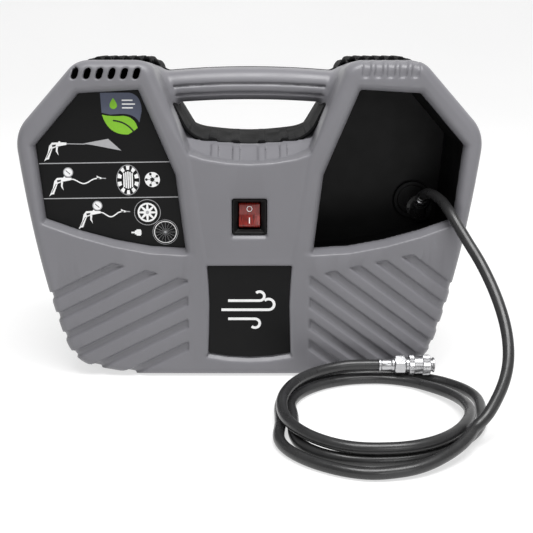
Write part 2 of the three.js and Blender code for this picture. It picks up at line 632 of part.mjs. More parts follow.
function piston() {
  const { low, crownInside, crown, wallR, outerR, grooveR } = PISTON;
  const top = crownInside + crown;
  const [s0, s1] = SEAL_Z;
  const profile = [
    [low, wallR], [low, outerR], [s0, outerR], [s0, grooveR], [s1, grooveR], [s1, outerR],
    [top, outerR], [top, 0], [crownInside, 0], [crownInside, wallR],
  ];
  const pinHole = rod(-30, 30, PIN_R + 0.1, 'x', [ROD_X, MOTOR.y, WRIST_Z], 14);
  return turned(profile, 'z', ON_CYLINDER, 20).subtract(pinHole);
}

const pistonSeal = () =>
  ring(SEAL_Z[0] + GAP, SEAL_Z[1] - GAP, PISTON.grooveR + 0.2, PISTON.outerR, 'z', ON_CYLINDER, 20);

// The wrist pin is two stubs in the piston's wall, one each side of the rod's eye.
function wristPin(side) {
  const [from, to] = side > 0 ? [5, 20] : [-20, -5];
  return rod(from, to, PIN_R, 'x', [ROD_X, MOTOR.y, WRIST_Z], 14);
}

const CORNERS = [[-1, -1], [-1, 1], [1, -1], [1, 1]];
const boltPlaces = CORNERS.map(([i, j]) => [ROD_X + i * HEAD_BOLT_AT, MOTOR.y + j * HEAD_BOLT_AT]);
const boltHoles = () => boltPlaces.map(([x, y]) => rod(100, 220, HEAD_BOLT_R + 0.4, 'z', [x, y, 0], 8));
const flange = (z0, z1) => {
  const half = CYLINDER.halfFlange;
  return box(ROD_X - half, ROD_X + half, MOTOR.y - half, MOTOR.y + half, z0, z1);
};

function cylinder() {
  const { low, high, wallR, finR } = CYLINDER;
  const fins = [141, 153].flatMap((z) => [[z, wallR], [z, finR], [z + 2.5, finR], [z + 2.5, wallR]]);
  const profile = [[low, BORE_R], [low, wallR], ...fins, [high, wallR], [high, BORE_R]];
  const barrel = turned(profile, 'z', ON_CYLINDER, 20);
  const bore = rod(100, 200, BORE_R + 1, 'z', ON_CYLINDER, 20);
  const flanges = joined(flange(low, low + 4), flange(high - 5, high)).subtract(bore);
  return cut(joined(barrel, flanges), ...boltHoles());
}

const VALVE_Z = [CYLINDER.high + GAP, CYLINDER.high + GAP + 3.2];
const HEAD_Z = [VALVE_Z[1] + GAP, VALVE_Z[1] + GAP + 12];

const PORT_AT = 9;                  // the two ports lie this far left and right of the cylinder axis

function valvePlate() {
  const ports = [-PORT_AT, PORT_AT].map((x) => rod(150, 220, 3, 'z', [ROD_X + x, MOTOR.y, 0], 12));
  return cut(flange(...VALVE_Z), ...boltHoles(), ...ports);
}

// The head holds an inlet and an outlet chamber side by side, open to the valve plate.
function cylinderHead() {
  const [low, high] = HEAD_Z;
  const chamber = (x0, x1) => box(ROD_X + x0, ROD_X + x1, MOTOR.y - 14, MOTOR.y + 14, low - 1, low + 7);
  const fins = [-20, -10, 0, 10, 20].map((y) =>
    box(ROD_X - 16, ROD_X + 16, MOTOR.y + y - 1.2, MOTOR.y + y + 1.2, high - 1, high + 5));
  const outlet = rod(MOTOR.y, 60, 3, 'y', [ROD_X + PORT_AT, 0, low + 4], 12);
  const relief = rod(-60, MOTOR.y, 2, 'y', [ROD_X + PORT_AT, 0, low + 4], 12);
  const inlet = rod(-60, MOTOR.y, 3, 'y', [ROD_X - PORT_AT, 0, low + 4], 12);
  const block = joined(flange(low, high), ...fins);
  return cut(block, chamber(-17, -1.5), chamber(1.5, 17), outlet, inlet, relief, ...boltHoles());
}

function headBolt([x, y]) {
  const start = CYLINDER.high - 8;
  const seat = HEAD_Z[1] + GAP;
  const top = HEAD_Z[1] + 4;
  const profile = [[start, 0], [start, HEAD_BOLT_R], [seat, HEAD_BOLT_R], [seat, 4], [top, 4], [top, 0]];
  return turned(profile, 'z', [x, y, 0], 8);
}

// ---------- air path to the bay ----------
const PORT = [ROD_X + PORT_AT, 0, HEAD_Z[0] + 4];
const ELBOW = { radius: 4.5, collar: 6, collarLength: 8, backY: 52, reach: 14 };
const PIPE_Y = ELBOW.backY - ELBOW.radius;

function outletElbow() {
  const { radius, collar, collarLength, backY, reach } = ELBOW;
  const start = MOTOR.y + CYLINDER.halfFlange + GAP;
  const step = start + collarLength;
  const profile = [
    [start, 0], [start, collar], [step, collar], [step, radius], [backY, radius], [backY, 0],
  ];
  return turned(profile, 'y', PORT, 14).add(rod(0, reach, radius, 'x', [PORT[0], PIPE_Y, PORT[2]], 14));
}

const RELIEF_PROFILE = [[-40, 0], [-40, 3], [-34, 3], [-34, 5], [-26, 6], [-19.3, 6], [-19.3, 0]];
const reliefValve = () => turned(RELIEF_PROFILE, 'y', PORT, 12);

const AIR_PIPE_R = 3.5;
const AIR_PIPE = [
  [PORT[0] + ELBOW.reach + 0.4, PIPE_Y, PORT[2]], [PORT[0] + 20, PIPE_Y, PORT[2]],
  [-26, 49.5, 183], [0, 53, 184], [40, 54, 184], [80, 54, 183], [118, 52, 180],
  [145, 46, 170], [157, 38, 155], [160, 30, 143], [160, 20, 138.5], [160, 12.4, 138],
];
const airPipe = () => tube(AIR_PIPE, AIR_PIPE_R, 8, 26);

// ---------- delivery hose ----------
// Where each turn passes, at every eighth of a turn clockwise from the right: [eighths, radius, height].
const COIL_TURNS = [
  [0.84, 79, 15.4], [1.4, 86, 9.6], [2, 97, 5.6], [2.5, 102, HOSE_R + 0.1], [3, 101, 4.8], [4, 84, 4.8],
  [5, 91, 4.8], [6, 92, 4.8], [7, 97, 4.8], [8, 80, 4.8], [9, 72, 4.8], [10, 77.5, 4.8], [11, 87, 4.8],
  [12, 73.5, 4.8], [13, 82, 4.8], [14, 82.5, 4.8], [15, 75, 7], [16, 69.5, 12], [16.6, 68.5, 14.3],
  [18, 77, 14.4], [19, 84, 14.4], [20, 83, 14.5], [21, 85, 16.2], [21.6, 83.5, 18],
];
const COIL_STEPS_PER_EIGHTH = 3;
const TOP_TURN = [16.6, 21.6];      // eighths of a turn where the top turn begins and ends

// Points of the coiled hose from one eighth of a turn to another.
function coilPoints(from, to) {
  const rows = COIL_TURNS.map((row) => new THREE.Vector3(...row));
  const fine = new THREE.CatmullRomCurve3(rows, false, 'centripetal').getPoints(400);
  const count = Math.round((to - from) * COIL_STEPS_PER_EIGHTH);
  return Array.from({ length: count + 1 }, (_, i) => {
    const eighths = from + (to - from) * i / count;
    const above = Math.max(1, fine.findIndex((point) => point.x >= eighths - 1e-9));
    const [low, high] = [fine[above - 1], fine[above]];
    const share = (eighths - low.x) / (high.x - low.x);
    const [, radius, height] = low.clone().lerp(high, share).toArray();
    const angle = -eighths * Math.PI / 4;
    return [COIL.x + radius * Math.cos(angle), COIL.y + radius * Math.sin(angle), height];
  });
}

const HOSE_TAIL = [
  [86, COUPLER.y - 0.9, 18.4],
  [100, COUPLER.y - 0.1, COUPLER.z],
  [COUPLER.start - GAP, COUPLER.y, COUPLER.z],
];
const hoseRun = () => tube(HOSE_RUN, HOSE_R, HOSE_SIDES, 18);
const hoseTopTurn = () => tube([...coilPoints(...TOP_TURN), ...HOSE_TAIL], HOSE_R, HOSE_SIDES, 22);

// The turns that lie on the ground, as one flat ring, a little longer from front to back.
function hoseCoil() {
  const { innerR, outerR, deep, top } = COIL;
  const profile = [[innerR, 0], [outerR, 0], [outerR, top], [innerR, top], [innerR, 0]];
  const geometry = new THREE.LatheGeometry(profile.map(([r, z]) => new THREE.Vector2(r, z)), 32);
  geometry.rotateX(Math.PI / 2);
  geometry.scale(1, deep / outerR, 1);
  geometry.translate(COIL.x - 1, COIL.y - 4, 0);
  return solid(geometry);
}

// ---------- quick coupler on the end of the hose ----------
const couplerTurned = (profile, segments) => turned(profile, 'x', [0, COUPLER.y, COUPLER.z], segments);
const FERRULE_PROFILE = [
  [114.1, 0], [114.1, 5.4], [116.4, 5.4], [117.2, 4.9],
  [124.8, 4.9], [125.6, 5.4], [127.9, 5.4], [127.9, 0],
];
const NUT_PROFILE = [[128.2, 0], [128.2, 8], [129.2, 8.7], [136.6, 8.7], [137.6, 8], [137.6, 0]];
const BODY_PROFILE = [
  [137.9, 0], [137.9, 6.2], [159.5, 6.2], [160, 6.6], [163.1, 6.6], [163.1, 4.4], [150, 4.4], [150, 0],
];
const SLEEVE_PROFILE = [
  [140.7, 6.6], [140.7, 8.6], [145, 8.6], [145.4, 8], [152, 8], [152.4, 9],
  [158.8, 9], [159.2, 8.4], [159.2, 6.6],
];
const hoseFerrule = () => couplerTurned(FERRULE_PROFILE, 16);
const hoseNut = () => couplerTurned(NUT_PROFILE, 6);
const couplerBody = () => couplerTurned(BODY_PROFILE, 14);
const couplerSleeve = () => couplerTurned(SLEEVE_PROFILE, 16);

// ---------- assembly ----------
const compressor = new THREE.Group();
compressor.name = 'air_compressor';

function add(name, body, look) {
  const mesh = new THREE.Mesh(geometryOf(body), look);
  mesh.name = name;
  compressor.add(mesh);
}

add('front_shell', frontShell(), GREY_PLASTIC);
add('rear_shell', rearShell(), BLACK_PLASTIC);
add('label_panel', labelPanel(), PANEL_BLACK);
add('nameplate', nameplate(), PANEL_BLACK);
add('storage_tray', storageTray(), BLACK_PLASTIC);
add('hose_gland', hoseGland(), RUBBER);
add('switch_bezel', switchBezel(), BLACK_PLASTIC);
add('power_switch_rocker', switchRocker(), RED_LENS);
add('cord_gland', cordGland(), RUBBER);
SCREWS.forEach(([x, z], i) => add('case_screw_' + (i + 1), caseScrew(x, z), STEEL));

add('gear_bracket', gearBracket(), ALUMINIUM);
add('motor_end_bracket', endBracket(), ALUMINIUM);
[[-63, -20], [-63, 36], [70, -20], [70, 36]].forEach(([x, y], i) =>
  add('rubber_mount_' + (i + 1), rubberMount(x, y), RUBBER));
add('stator_core', statorCore(), STEEL);
add('field_coil_upper', fieldCoil(1), COPPER);
add('field_coil_lower', fieldCoil(-1), COPPER);
add('brush_holder_front', brushHolder(-1), BRASS);
add('brush_holder_rear', brushHolder(1), BRASS);
add('drive_end_bearing', bearing(BRACKET.x0 - 0.5, BRACKET.x1 + 0.5, ON_MOTOR), STEEL);
add('brush_end_bearing', bearing(63, 69, ON_MOTOR), STEEL);
add('crank_bearing', bearing(BRACKET.x0 - 0.5, BRACKET.x1 + 0.5, ON_CRANK), STEEL);
add('cylinder', cylinder(), ALUMINIUM);
add('valve_plate', valvePlate(), STEEL);
add('cylinder_head', cylinderHead(), ALUMINIUM);
boltPlaces.forEach((place, i) => add('head_bolt_' + (i + 1), headBolt(place), STEEL));
add('outlet_elbow', outletElbow(), BRASS);
add('relief_valve', reliefValve(), BRASS);
add('air_pipe', airPipe(), RUBBER);

add('motor_shaft', motorShaft(), STEEL);
add('armature', armature(), STEEL);
add('commutator', commutator(), COPPER);
add('cooling_fan', coolingFan(), BLACK_PLASTIC);
add('motor_pinion', pinion(), STEEL);
add('crank_gear', crankGear(), NYLON);
add('crank_pin', crankPin(), STEEL);
add('connecting_rod', connectingRod(), ALUMINIUM);
add('piston', piston(), ALUMINIUM);
add('piston_seal', pistonSeal(), NYLON);
add('wrist_pin_left', wristPin(-1), STEEL);
add('wrist_pin_right', wristPin(1), STEEL);

add('hose_run', hoseRun(), RUBBER);
add('hose_coil', hoseCoil(), RUBBER);
add('hose_top_turn', hoseTopTurn(), RUBBER);
add('hose_ferrule', hoseFerrule(), ZINC);
add('hose_nut', hoseNut(), ZINC);
add('coupler_body', couplerBody(), ZINC);
add('coupler_sleeve', couplerSleeve(), ZINC);

export default compressor;
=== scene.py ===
# A portable air compressor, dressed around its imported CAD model. Shapes are worked out in millimetres and
# scaled to metres when a mesh is made. The front faces -Y, +X is to the right of the front, +Z is up.
import json
import math

import bmesh
import bpy
import numpy as np
from mathutils import Matrix, Vector


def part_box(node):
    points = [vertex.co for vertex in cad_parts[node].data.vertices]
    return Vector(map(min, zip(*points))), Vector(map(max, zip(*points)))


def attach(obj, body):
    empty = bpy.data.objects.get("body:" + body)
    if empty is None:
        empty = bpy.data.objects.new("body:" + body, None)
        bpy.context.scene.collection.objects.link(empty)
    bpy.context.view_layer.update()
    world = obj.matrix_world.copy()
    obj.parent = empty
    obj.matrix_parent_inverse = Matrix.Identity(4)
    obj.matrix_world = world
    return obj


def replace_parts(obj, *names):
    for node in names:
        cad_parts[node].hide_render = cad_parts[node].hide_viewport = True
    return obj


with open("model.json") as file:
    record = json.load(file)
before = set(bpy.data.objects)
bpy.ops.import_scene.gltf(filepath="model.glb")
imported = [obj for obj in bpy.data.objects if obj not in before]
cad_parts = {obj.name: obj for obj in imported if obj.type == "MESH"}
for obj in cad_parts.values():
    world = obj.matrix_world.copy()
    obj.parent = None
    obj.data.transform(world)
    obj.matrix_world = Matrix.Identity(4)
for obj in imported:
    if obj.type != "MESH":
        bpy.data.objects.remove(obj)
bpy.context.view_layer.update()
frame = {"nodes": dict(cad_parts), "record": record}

MM = 0.001
GAP = 0.3  # clearance kept between touching pieces
NOTHING = 1e3  # a distance that no solid reaches


# ------------------ camera
def placed(name, data):
    made = bpy.data.objects.new(name, data)
    bpy.context.collection.objects.link(made)
    return made


CAMERA_LENS, CAMERA_SHIFT = 71.0, 0.032
CAMERA_PLACE, CAMERA_DOWN = (0, -0.970, 0.360), 16.12  # metres, degrees below level
camera_data = bpy.data.cameras.new("camera")
camera_data.lens, camera_data.shift_x = CAMERA_LENS, CAMERA_SHIFT
camera = placed("camera", camera_data)
camera.location = CAMERA_PLACE
camera.rotation_euler = (math.radians(90 - CAMERA_DOWN), 0, 0)
bpy.context.scene.camera = camera


# ------------------ node materials
MIX_A, MIX_B, MIX_RESULT = 6, 7, 2


class Look:
    """A material with short calls for the procedural nodes that shape it."""

    def __init__(self, name, color, roughness, metallic=0.0, **shader):
        self.material = bpy.data.materials.new(name)
        self.material.use_nodes = True
        self.nodes = self.material.node_tree.nodes
        self.links = self.material.node_tree.links
        self.shader = self.nodes["Principled BSDF"]
        self.shader.inputs["Base Color"].default_value = (*color, 1)
        self.shader.inputs["Roughness"].default_value = roughness
        self.shader.inputs["Metallic"].default_value = metallic
        for socket, value in shader.items():
            self.shader.inputs[socket.replace("_", " ")].default_value = value
        self.place = self.nodes.new("ShaderNodeTexCoord").outputs["Object"]

    def node(self, kind, inputs=None, **settings):
        made = self.nodes.new(kind)
        for name, value in settings.items():
            setattr(made, name, value)
        for name, value in (inputs or {}).items():
            if isinstance(value, bpy.types.NodeSocket):
                self.links.new(value, made.inputs[name])
            else:
                made.inputs[name].default_value = value
        return made

    def noise(self, scale, detail=3.0, stretch=(1, 1, 1)):
        mapping = self.node("ShaderNodeMapping", {"Vector": self.place, "Scale": stretch})
        inputs = {"Vector": mapping.outputs["Vector"], "Scale": scale, "Detail": detail}
        return self.node("ShaderNodeTexNoise", inputs).outputs["Fac"]

    def remap(self, value, low, high, start=0.3, end=0.7):
        inputs = {"Value": value, "From Min": start, "From Max": end, "To Min": low, "To Max": high}
        return self.node("ShaderNodeMapRange", inputs).outputs["Result"]

    def tint(self, amount, dark, light):
        """Colour from dark to light. The Mix node's colour sockets share names, so they go by number."""
        mix = self.node("ShaderNodeMix", data_type="RGBA")
        self.links.new(amount, mix.inputs["Factor"])
        mix.inputs[MIX_A].default_value = (*dark, 1)
        mix.inputs[MIX_B].default_value = (*light, 1)
        self.links.new(mix.outputs[MIX_RESULT], self.shader.inputs["Base Color"])
        return self

    def rough(self, value, low, high):
        self.links.new(self.remap(value, low, high), self.shader.inputs["Roughness"])
        return self

    def bump(self, *layers):
        """Each layer is (height, strength, distance)."""
        normal = None
        for height, strength, distance in layers:
            inputs = {"Height": height, "Strength": strength, "Distance": distance}
            if normal:
                inputs["Normal"] = normal
            normal = self.node("ShaderNodeBump", inputs).outputs["Normal"]
        self.links.new(normal, self.shader.inputs["Normal"])
        return self


def scaled(color, factor):
    return tuple(part * factor for part in color)


def moulded(name, color, roughness, grain=0.35, shine=0.3):
    """Spark-eroded plastic: a fine pebble, soft clouding and a roughness that varies a little."""
    look = Look(name, color, roughness, Specular_IOR_Level=shine)
    cloud = look.noise(9, 4)
    pebble = look.noise(1500, 2)
    look.tint(look.remap(cloud, 0, 1), scaled(color, 0.93), scaled(color, 1.06))
    look.rough(look.noise(60, 5), roughness - 0.05, roughness + 0.06)
    return look.bump((cloud, 0.05, 0.002), (pebble, grain, 0.00012)).material


def metal(name, color, roughness, stretch=(1, 1, 1), streak=0.12, scale=400):
    """Metal with fine tool marks and a faintly uneven shine."""
    look = Look(name, color, roughness, 1.0)
    marks = look.noise(scale, 3, stretch)
    look.tint(look.remap(look.noise(35, 4), 0, 1), scaled(color, 0.86), color)
    look.rough(marks, max(0.04, roughness - 0.08), roughness + 0.1)
    return look.bump((marks, streak, 0.0002)).material


def rubbery(name, color, roughness):
    look = Look(name, color, roughness)
    dust = look.noise(22, 5)
    look.tint(look.remap(dust, 0, 1, 0.4, 0.75), color, scaled(color, 1.7))
    look.rough(look.noise(120, 4), roughness - 0.06, roughness + 0.08)
    return look.bump((look.noise(900, 3), 0.3, 0.0001)).material


GREY = (0.158, 0.156, 0.169)
BLACK = (0.0068, 0.0068, 0.0072)
FILM = (0.0050, 0.0050, 0.0052)
grey_plastic = moulded("grey_plastic", GREY, 0.38, 0.35, 0.45)
black_plastic = moulded("black_plastic", BLACK, 0.6, 0.5, 0.06)
# Black plastic for the bay, its cup and the switch frame: its gloss is the plastic's own, but its colour is
# darkened below the black as painted shade for the shade deep in those recesses.
recess_black_with_painted_shade = moulded("recess_black_with_painted_shade", scaled(BLACK, 0.45), 0.42, 0.4, 0.18)
panel_film = moulded("panel_film", FILM, 0.4, 0.12, 0.14)
rubber = rubbery("rubber", (0.0170, 0.0170, 0.0174), 0.29)
zinc = metal("zinc", (0.52, 0.52, 0.53), 0.3, (1, 6, 6), 0.06)
steel = metal("steel", (0.50, 0.51, 0.53), 0.32, (4, 1, 1))
aluminium = metal("aluminium", (0.62, 0.63, 0.65), 0.45, (1, 1, 1), 0.35, 700)
copper = metal("copper", (0.72, 0.33, 0.16), 0.3, (1, 14, 14), 0.6, 90)
brass = metal("brass", (0.70, 0.52, 0.22), 0.28)
nylon = moulded("nylon", (0.72, 0.69, 0.60), 0.4, 0.2)


def red_lens():
    """Clear red plastic of the rocker."""
    look = Look("red_lens", (0.30, 0.012, 0.008), 0.2, Coat_Weight=0.2, Coat_Roughness=0.15)
    inner = look.noise(420, 3, (2.4, 1, 0.35))
    look.tint(look.remap(inner, 0, 1), (0.06, 0.003, 0.002), (0.27, 0.016, 0.010))
    return look.bump((look.noise(500, 2), 0.12, 0.0002)).material


rocker_red = red_lens()


# ------------------ making objects
def link(name, data, material, body="case"):
    piece = placed(name, data)
    data.materials.append(material)
    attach(piece, body)
    return piece


def mesh_piece(name, points, faces, material, body="case", smooth=True):
    """points are in millimetres."""
    mesh = bpy.data.meshes.new(name)
    mesh.from_pydata([tuple(float(v) * MM for v in point) for point in points], [], faces)
    mesh.polygons.foreach_set("use_smooth", [smooth] * len(mesh.polygons))
    mesh.update()
    return link(name, mesh, material, body)


def looped_faces(rows, count):
    """Faces of a closed skin over rows of count points each, the last row joined to the first."""
    faces = []
    for i in range(rows):
        j = (i + 1) % rows
        for k in range(count):
            n = (k + 1) % count
            faces.append((i * count + k, i * count + n, j * count + n, j * count + k))
    return faces


def around(x, z, radius_x, radius_z, sides):
    return [(x + radius_x * math.cos(t), z + radius_z * math.sin(t))
            for t in np.linspace(0, 2 * math.pi, sides, endpoint=False)]


def turned_piece(name, profile, centre, material, body, segments):
    """A profile of [along X, radius] turned around the X axis through centre = (y, z)."""
    points = [(along, *place) for along, radius in profile
              for place in around(*centre, radius, radius, segments)]
    return mesh_piece(name, points, looped_faces(len(profile), segments), material, body)


def modified(piece):
    """Applies the piece's modifiers to its mesh."""
    graph = bpy.context.evaluated_depsgraph_get()
    mesh = bpy.data.meshes.new_from_object(piece.evaluated_get(graph), depsgraph=graph)
    piece.modifiers.clear()
    piece.data = mesh
    return piece


# ------------------ delivery hose
HOSE_R = 4.65
HOSE_STEP, TURN_STEP = 3.0, 0.4  # point spacing on the route, and on the turns before they are placed
COIL_X, COIL_Y = 109, -182
COUPLER_Y, COUPLER_Z, COUPLER_START = -101.5, 18.6, 114.1
HOSE_RUN = [
    (159.3, -12.8, 144.6), (159.5, -20, 151.5), (161, -33, 158.6), (165, -48, 160.2), (169.6, -64, 158),
    (173.2, -83, 152.9), (178.5, -96, 143.8), (184.5, -109, 133.4), (192.3, -125, 120.4), (198.9, -142, 106),
    (203.4, -158, 92), (205.8, -172, 79), (206, -184, 67), (204.2, -194, 56), (200, -203, 45),
    (193.4, -211, 34), (184.3, -219.5, 23), (171.2, -230, 15.4),
]
# Where each turn passes, at eighths of a turn clockwise from the right: (eighths, radius, height).
COIL_TURNS = [
    (0.84, 79, 15.4), (1.4, 86, 9.6), (2, 97, 5.6), (2.5, 102, 4.75), (3, 101, 4.8), (4, 84, 4.8),
    (5, 91, 4.8), (6, 92, 4.8), (7, 97, 4.8), (8, 80, 4.8), (9, 72, 4.8), (10, 77.5, 4.8), (11, 87, 4.8),
    (12, 73.5, 4.8), (13, 82, 4.8), (14, 82.5, 4.8), (15, 75, 7), (16, 69.5, 12), (16.6, 68.5, 14.3),
    (18, 77, 14.4), (19, 84, 14.4), (20, 83, 14.5), (21, 85, 16.2), (21.6, 83.5, 18),
]
HOSE_TAIL = [(86, COUPLER_Y - 0.9, 18.4), (100, COUPLER_Y - 0.1, COUPLER_Z),
             (COUPLER_START - GAP, COUPLER_Y, COUPLER_Z)]


def smooth_path(points, spacing):
    """Points every spacing along a centripetal Catmull-Rom curve through the given ones, and its length."""
    points = [np.array(point, float) for point in points]
    points = [2 * points[0] - points[1], *points, 2 * points[-1] - points[-2]]
    fine = []
    for p0, p1, p2, p3 in zip(points, points[1:], points[2:], points[3:]):
        knots = [0.0]
        for a, b in ((p0, p1), (p1, p2), (p2, p3)):
            knots.append(knots[-1] + np.linalg.norm(b - a) ** 0.5)
        t0, t1, t2, t3 = knots
        for t in np.linspace(t1, t2, 24, endpoint=False):
            a1 = (t1 - t) / (t1 - t0) * p0 + (t - t0) / (t1 - t0) * p1
            a2 = (t2 - t) / (t2 - t1) * p1 + (t - t1) / (t2 - t1) * p2
            a3 = (t3 - t) / (t3 - t2) * p2 + (t - t2) / (t3 - t2) * p3
            b1 = (t2 - t) / (t2 - t0) * a1 + (t - t0) / (t2 - t0) * a2
            b2 = (t3 - t) / (t3 - t1) * a2 + (t - t1) / (t3 - t1) * a3
            fine.append((t2 - t) / (t2 - t1) * b1 + (t - t1) / (t2 - t1) * b2)
    fine.append(points[-2])
    fine = np.array(fine)
    travelled = np.concatenate([[0], np.cumsum(np.linalg.norm(np.diff(fine, axis=0), axis=1))])
    stops = np.linspace(0, travelled[-1], int(travelled[-1] / spacing) + 1)
    return np.stack([np.interp(stops, travelled, fine[:, k]) for k in range(3)], axis=1), travelled[-1]


def coil_point(eighths, radius, height):
    angle = -eighths * math.pi / 4
    return (COIL_X + radius * math.cos(angle), COIL_Y + radius * math.sin(angle), height)


def delivery_hose():
    """The hose from the gland in the bay to the coupler, and its length in millimetres."""
    turns, _ = smooth_path(COIL_TURNS, TURN_STEP)
    coil = [coil_point(*row) for row in turns]
    route, length = smooth_path(HOSE_RUN + coil[1:] + HOSE_TAIL, HOSE_STEP)
    for _ in range(2):
        route[1:-1] = 0.25 * route[:-2] + 0.5 * route[1:-1] + 0.25 * route[2:]
    curve = bpy.data.curves.new("delivery_hose", "CURVE")
    curve.dimensions = "3D"
    curve.bevel_depth = HOSE_R * MM
    curve.bevel_resolution = 8
    curve.use_fill_caps = True
    spline = curve.splines.new("POLY")
    spline.points.add(len(route) - 1)
    for point, place in zip(spline.points, route):
        point.co = (*[v * MM for v in place], 1)
    spline.use_smooth = True
    hose = link("delivery_hose", curve, rubber)
    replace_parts(hose, "hose_run", "hose_coil", "hose_top_turn")
    return hose, length


hose, hose_length = delivery_hose()


# ------------------ outlines of the case
WALL = 3
FRONT_Y, BACK_Y = -84, 84
WAIST_Z = 206.5
HANDLE_LOW, HANDLE_HIGH, HANDLE_FRONT, HANDLE_BACK = 240.5, 266.5, -28, 16
HANDLE_REACH, HANDLE_ROUND = 78, 12.0
HANDLE_GROOVES = ((2.2, 0.2), (-6.2, 1.0))  # finger grooves: height over the middle, and how far back


def bend(start, control, end, steps=10):
    """Points of a quadratic curve, without its first one."""
    ts = [(i + 1) / steps for i in range(steps)]
    return [tuple((1 - t) ** 2 * a + 2 * t * (1 - t) * b + t * t * c for a, b, c in zip(start, control, end))
            for t in ts]


def mirrored(half):
    """A closed outline from its right half, which runs from the middle round to the middle."""
    return half + [(-x, z) for x, z in reversed(half) if x > 0]


def waist_half():
    """Right side of the hand opening, from the shoulder down to the middle of its floor."""
    half = [(66, 241), (58, 225)]
    half += bend((58, 225), (52.5, 213.5), (40, 210.5))
    return half + bend((40, 210.5), (20, WAIST_Z), (0, WAIST_Z))


def case_outline():
    half = [(0, 0), (104, 0), (138, 6)]
    half += bend((138, 6), (160, 10), (167, 34))
    half += bend((167, 34), (189, 106), (199.6, 204), 14)
    half += bend((199.6, 204), (201.4, 221), (190, 232.6))
    half += [(153, 273.5)] + bend((153, 273.5), (146, 281.5), (134, 281.5))
    half += [(97, 281.5)] + bend((97, 281.5), (84, 281.5), (79, 272))
    return mirrored(half + waist_half())


def opening_outline():
    """Hand opening under the handle, closed across its top."""
    return mirrored([(0, 244), (67.5, 244)] + waist_half())


LABEL = [(-145, 254), (-94, 257), (-75, 211), (-64, 184), (-56.4, 117.4), (-87, 119.2), (-118, 125),
         (-149, 133.6), (-178.5, 144.3), (-184.3, 209.5)]
BAY = [(-x, z) for x, z in LABEL]
PLATE = mirrored([(0, 18), (19, 19), (37, 22), (36.3, 40), (35.5, 68), (36.1, 86), (37.4, 104), (0, 104)])
SCOOP = mirrored([(0, 195), (20, 196.2), (40, 199.6), (52, 203.8), (56, 212), (66, 241), (79, 272),
                  (80, 300), (0, 300)])
POCKET_Y, PLATE_Y, SWITCH_Y, SWITCH_Z = -70, -79, -79.5, 148
SWITCH_HOLE = (15.3, 16.3, 2)  # half width, half height, corner radius
SLEEVE_Y = -45
TRAY_BACK_Y = 1.4


# ------------------ shells as sampled distance fields
class Plane:
    """A grid over the X-Z plane with the distance to each outline worked out once."""

    def __init__(self, pitch):
        self.pitch = pitch
        self.xs = np.arange(-204, 204 + pitch, pitch)
        self.zs = np.arange(-3, 286, pitch)
        self.x, self.z = np.meshgrid(self.xs, self.zs, indexing="ij")
        self.case = self.distance(case_outline())
        self.opening = self.distance(opening_outline())
        self.label = self.distance(LABEL)
        self.bay = self.distance(BAY)
        self.plate = self.distance(PLATE)
        self.scoop = self.distance(SCOOP)
        self.cutout = self.rounded_box(0, SWITCH_Z, *SWITCH_HOLE)
        self.relief, grooves = front_relief(self.x, self.z)
        self.run_out = grooves * np.where(self.x < 0, 1.5, 0.6)

    def pocket(self, field, sunk, radius, chamfer_wide, chamfer_deep):
        """A pocket, widened near the face by a fillet above and beside it and a chamfer below it."""
        inner = max(0.0, radius - sunk)
        fillet = radius - math.sqrt(max(radius ** 2 - inner ** 2, 0))
        chamfer = chamfer_wide * max(0.0, 1 - sunk / chamfer_deep)
        below = np.clip(-1.8 * np.gradient(field, self.pitch, axis=1) - 0.6, 0, 1)
        return field - (below * chamfer + (1 - below) * fillet)

    def distance(self, outline):
        """Signed distance to a closed outline, below zero inside."""
        nearest = np.full(self.x.shape, 1e9)
        inside = np.zeros(self.x.shape, bool)
        for (x0, z0), (x1, z1) in zip(outline, outline[1:] + outline[:1]):
            run_x, run_z = x1 - x0, z1 - z0
            along = ((self.x - x0) * run_x + (self.z - z0) * run_z) / max(run_x ** 2 + run_z ** 2, 1e-9)
            along = np.clip(along, 0, 1)
            away = (self.x - x0 - along * run_x) ** 2 + (self.z - z0 - along * run_z) ** 2
            nearest = np.minimum(nearest, away)
            if z0 != z1:
                crosses = (self.z < z0) != (self.z < z1)
                inside ^= crosses & (self.x < x0 + (self.z - z0) * run_x / run_z)
        return np.where(inside, -1, 1) * np.sqrt(nearest)

    def rounded_box(self, x, z, half_x, half_z, radius):
        over_x = np.abs(self.x - x) - (half_x - radius)
        over_z = np.abs(self.z - z) - (half_z - radius)
        outside = np.hypot(np.maximum(over_x, 0), np.maximum(over_z, 0))
        return outside + np.minimum(np.maximum(over_x, over_z), 0) - radius

    def lowered(self, field, drop):
        """The field with its shoulders lowered by drop."""
        ramp = smooth_step((self.zs - 215) / 50)
        places = np.clip((self.zs + drop * ramp - self.zs[0]) / self.pitch, 0, len(self.zs) - 1.001)
        low = places.astype(int)
        share = places - low
        return field[:, low] * (1 - share) + field[:, low + 1] * share


def smooth_step(value):
    value = np.clip(value, 0, 1)
    return value * value * (3 - 2 * value)


def round_max(a, b, radius):
    """The overlap of two solids, with the edge between them rounded."""
    corner = np.hypot(np.maximum(a + radius, 0), np.maximum(b + radius, 0))
    return np.minimum(np.maximum(a, b), -radius) + corner


def round_min(a, b, radius):
    """Two solids together, with the corner between them filleted."""
    return -round_max(-a, -b, radius)


GROOVE_WIDTH, GROOVE_DEPTH = 8.2, 2.8
GROOVE_LIP, GROOVE_CHAMFER, GROOVE_END = 0.8, 1.5, 1.2


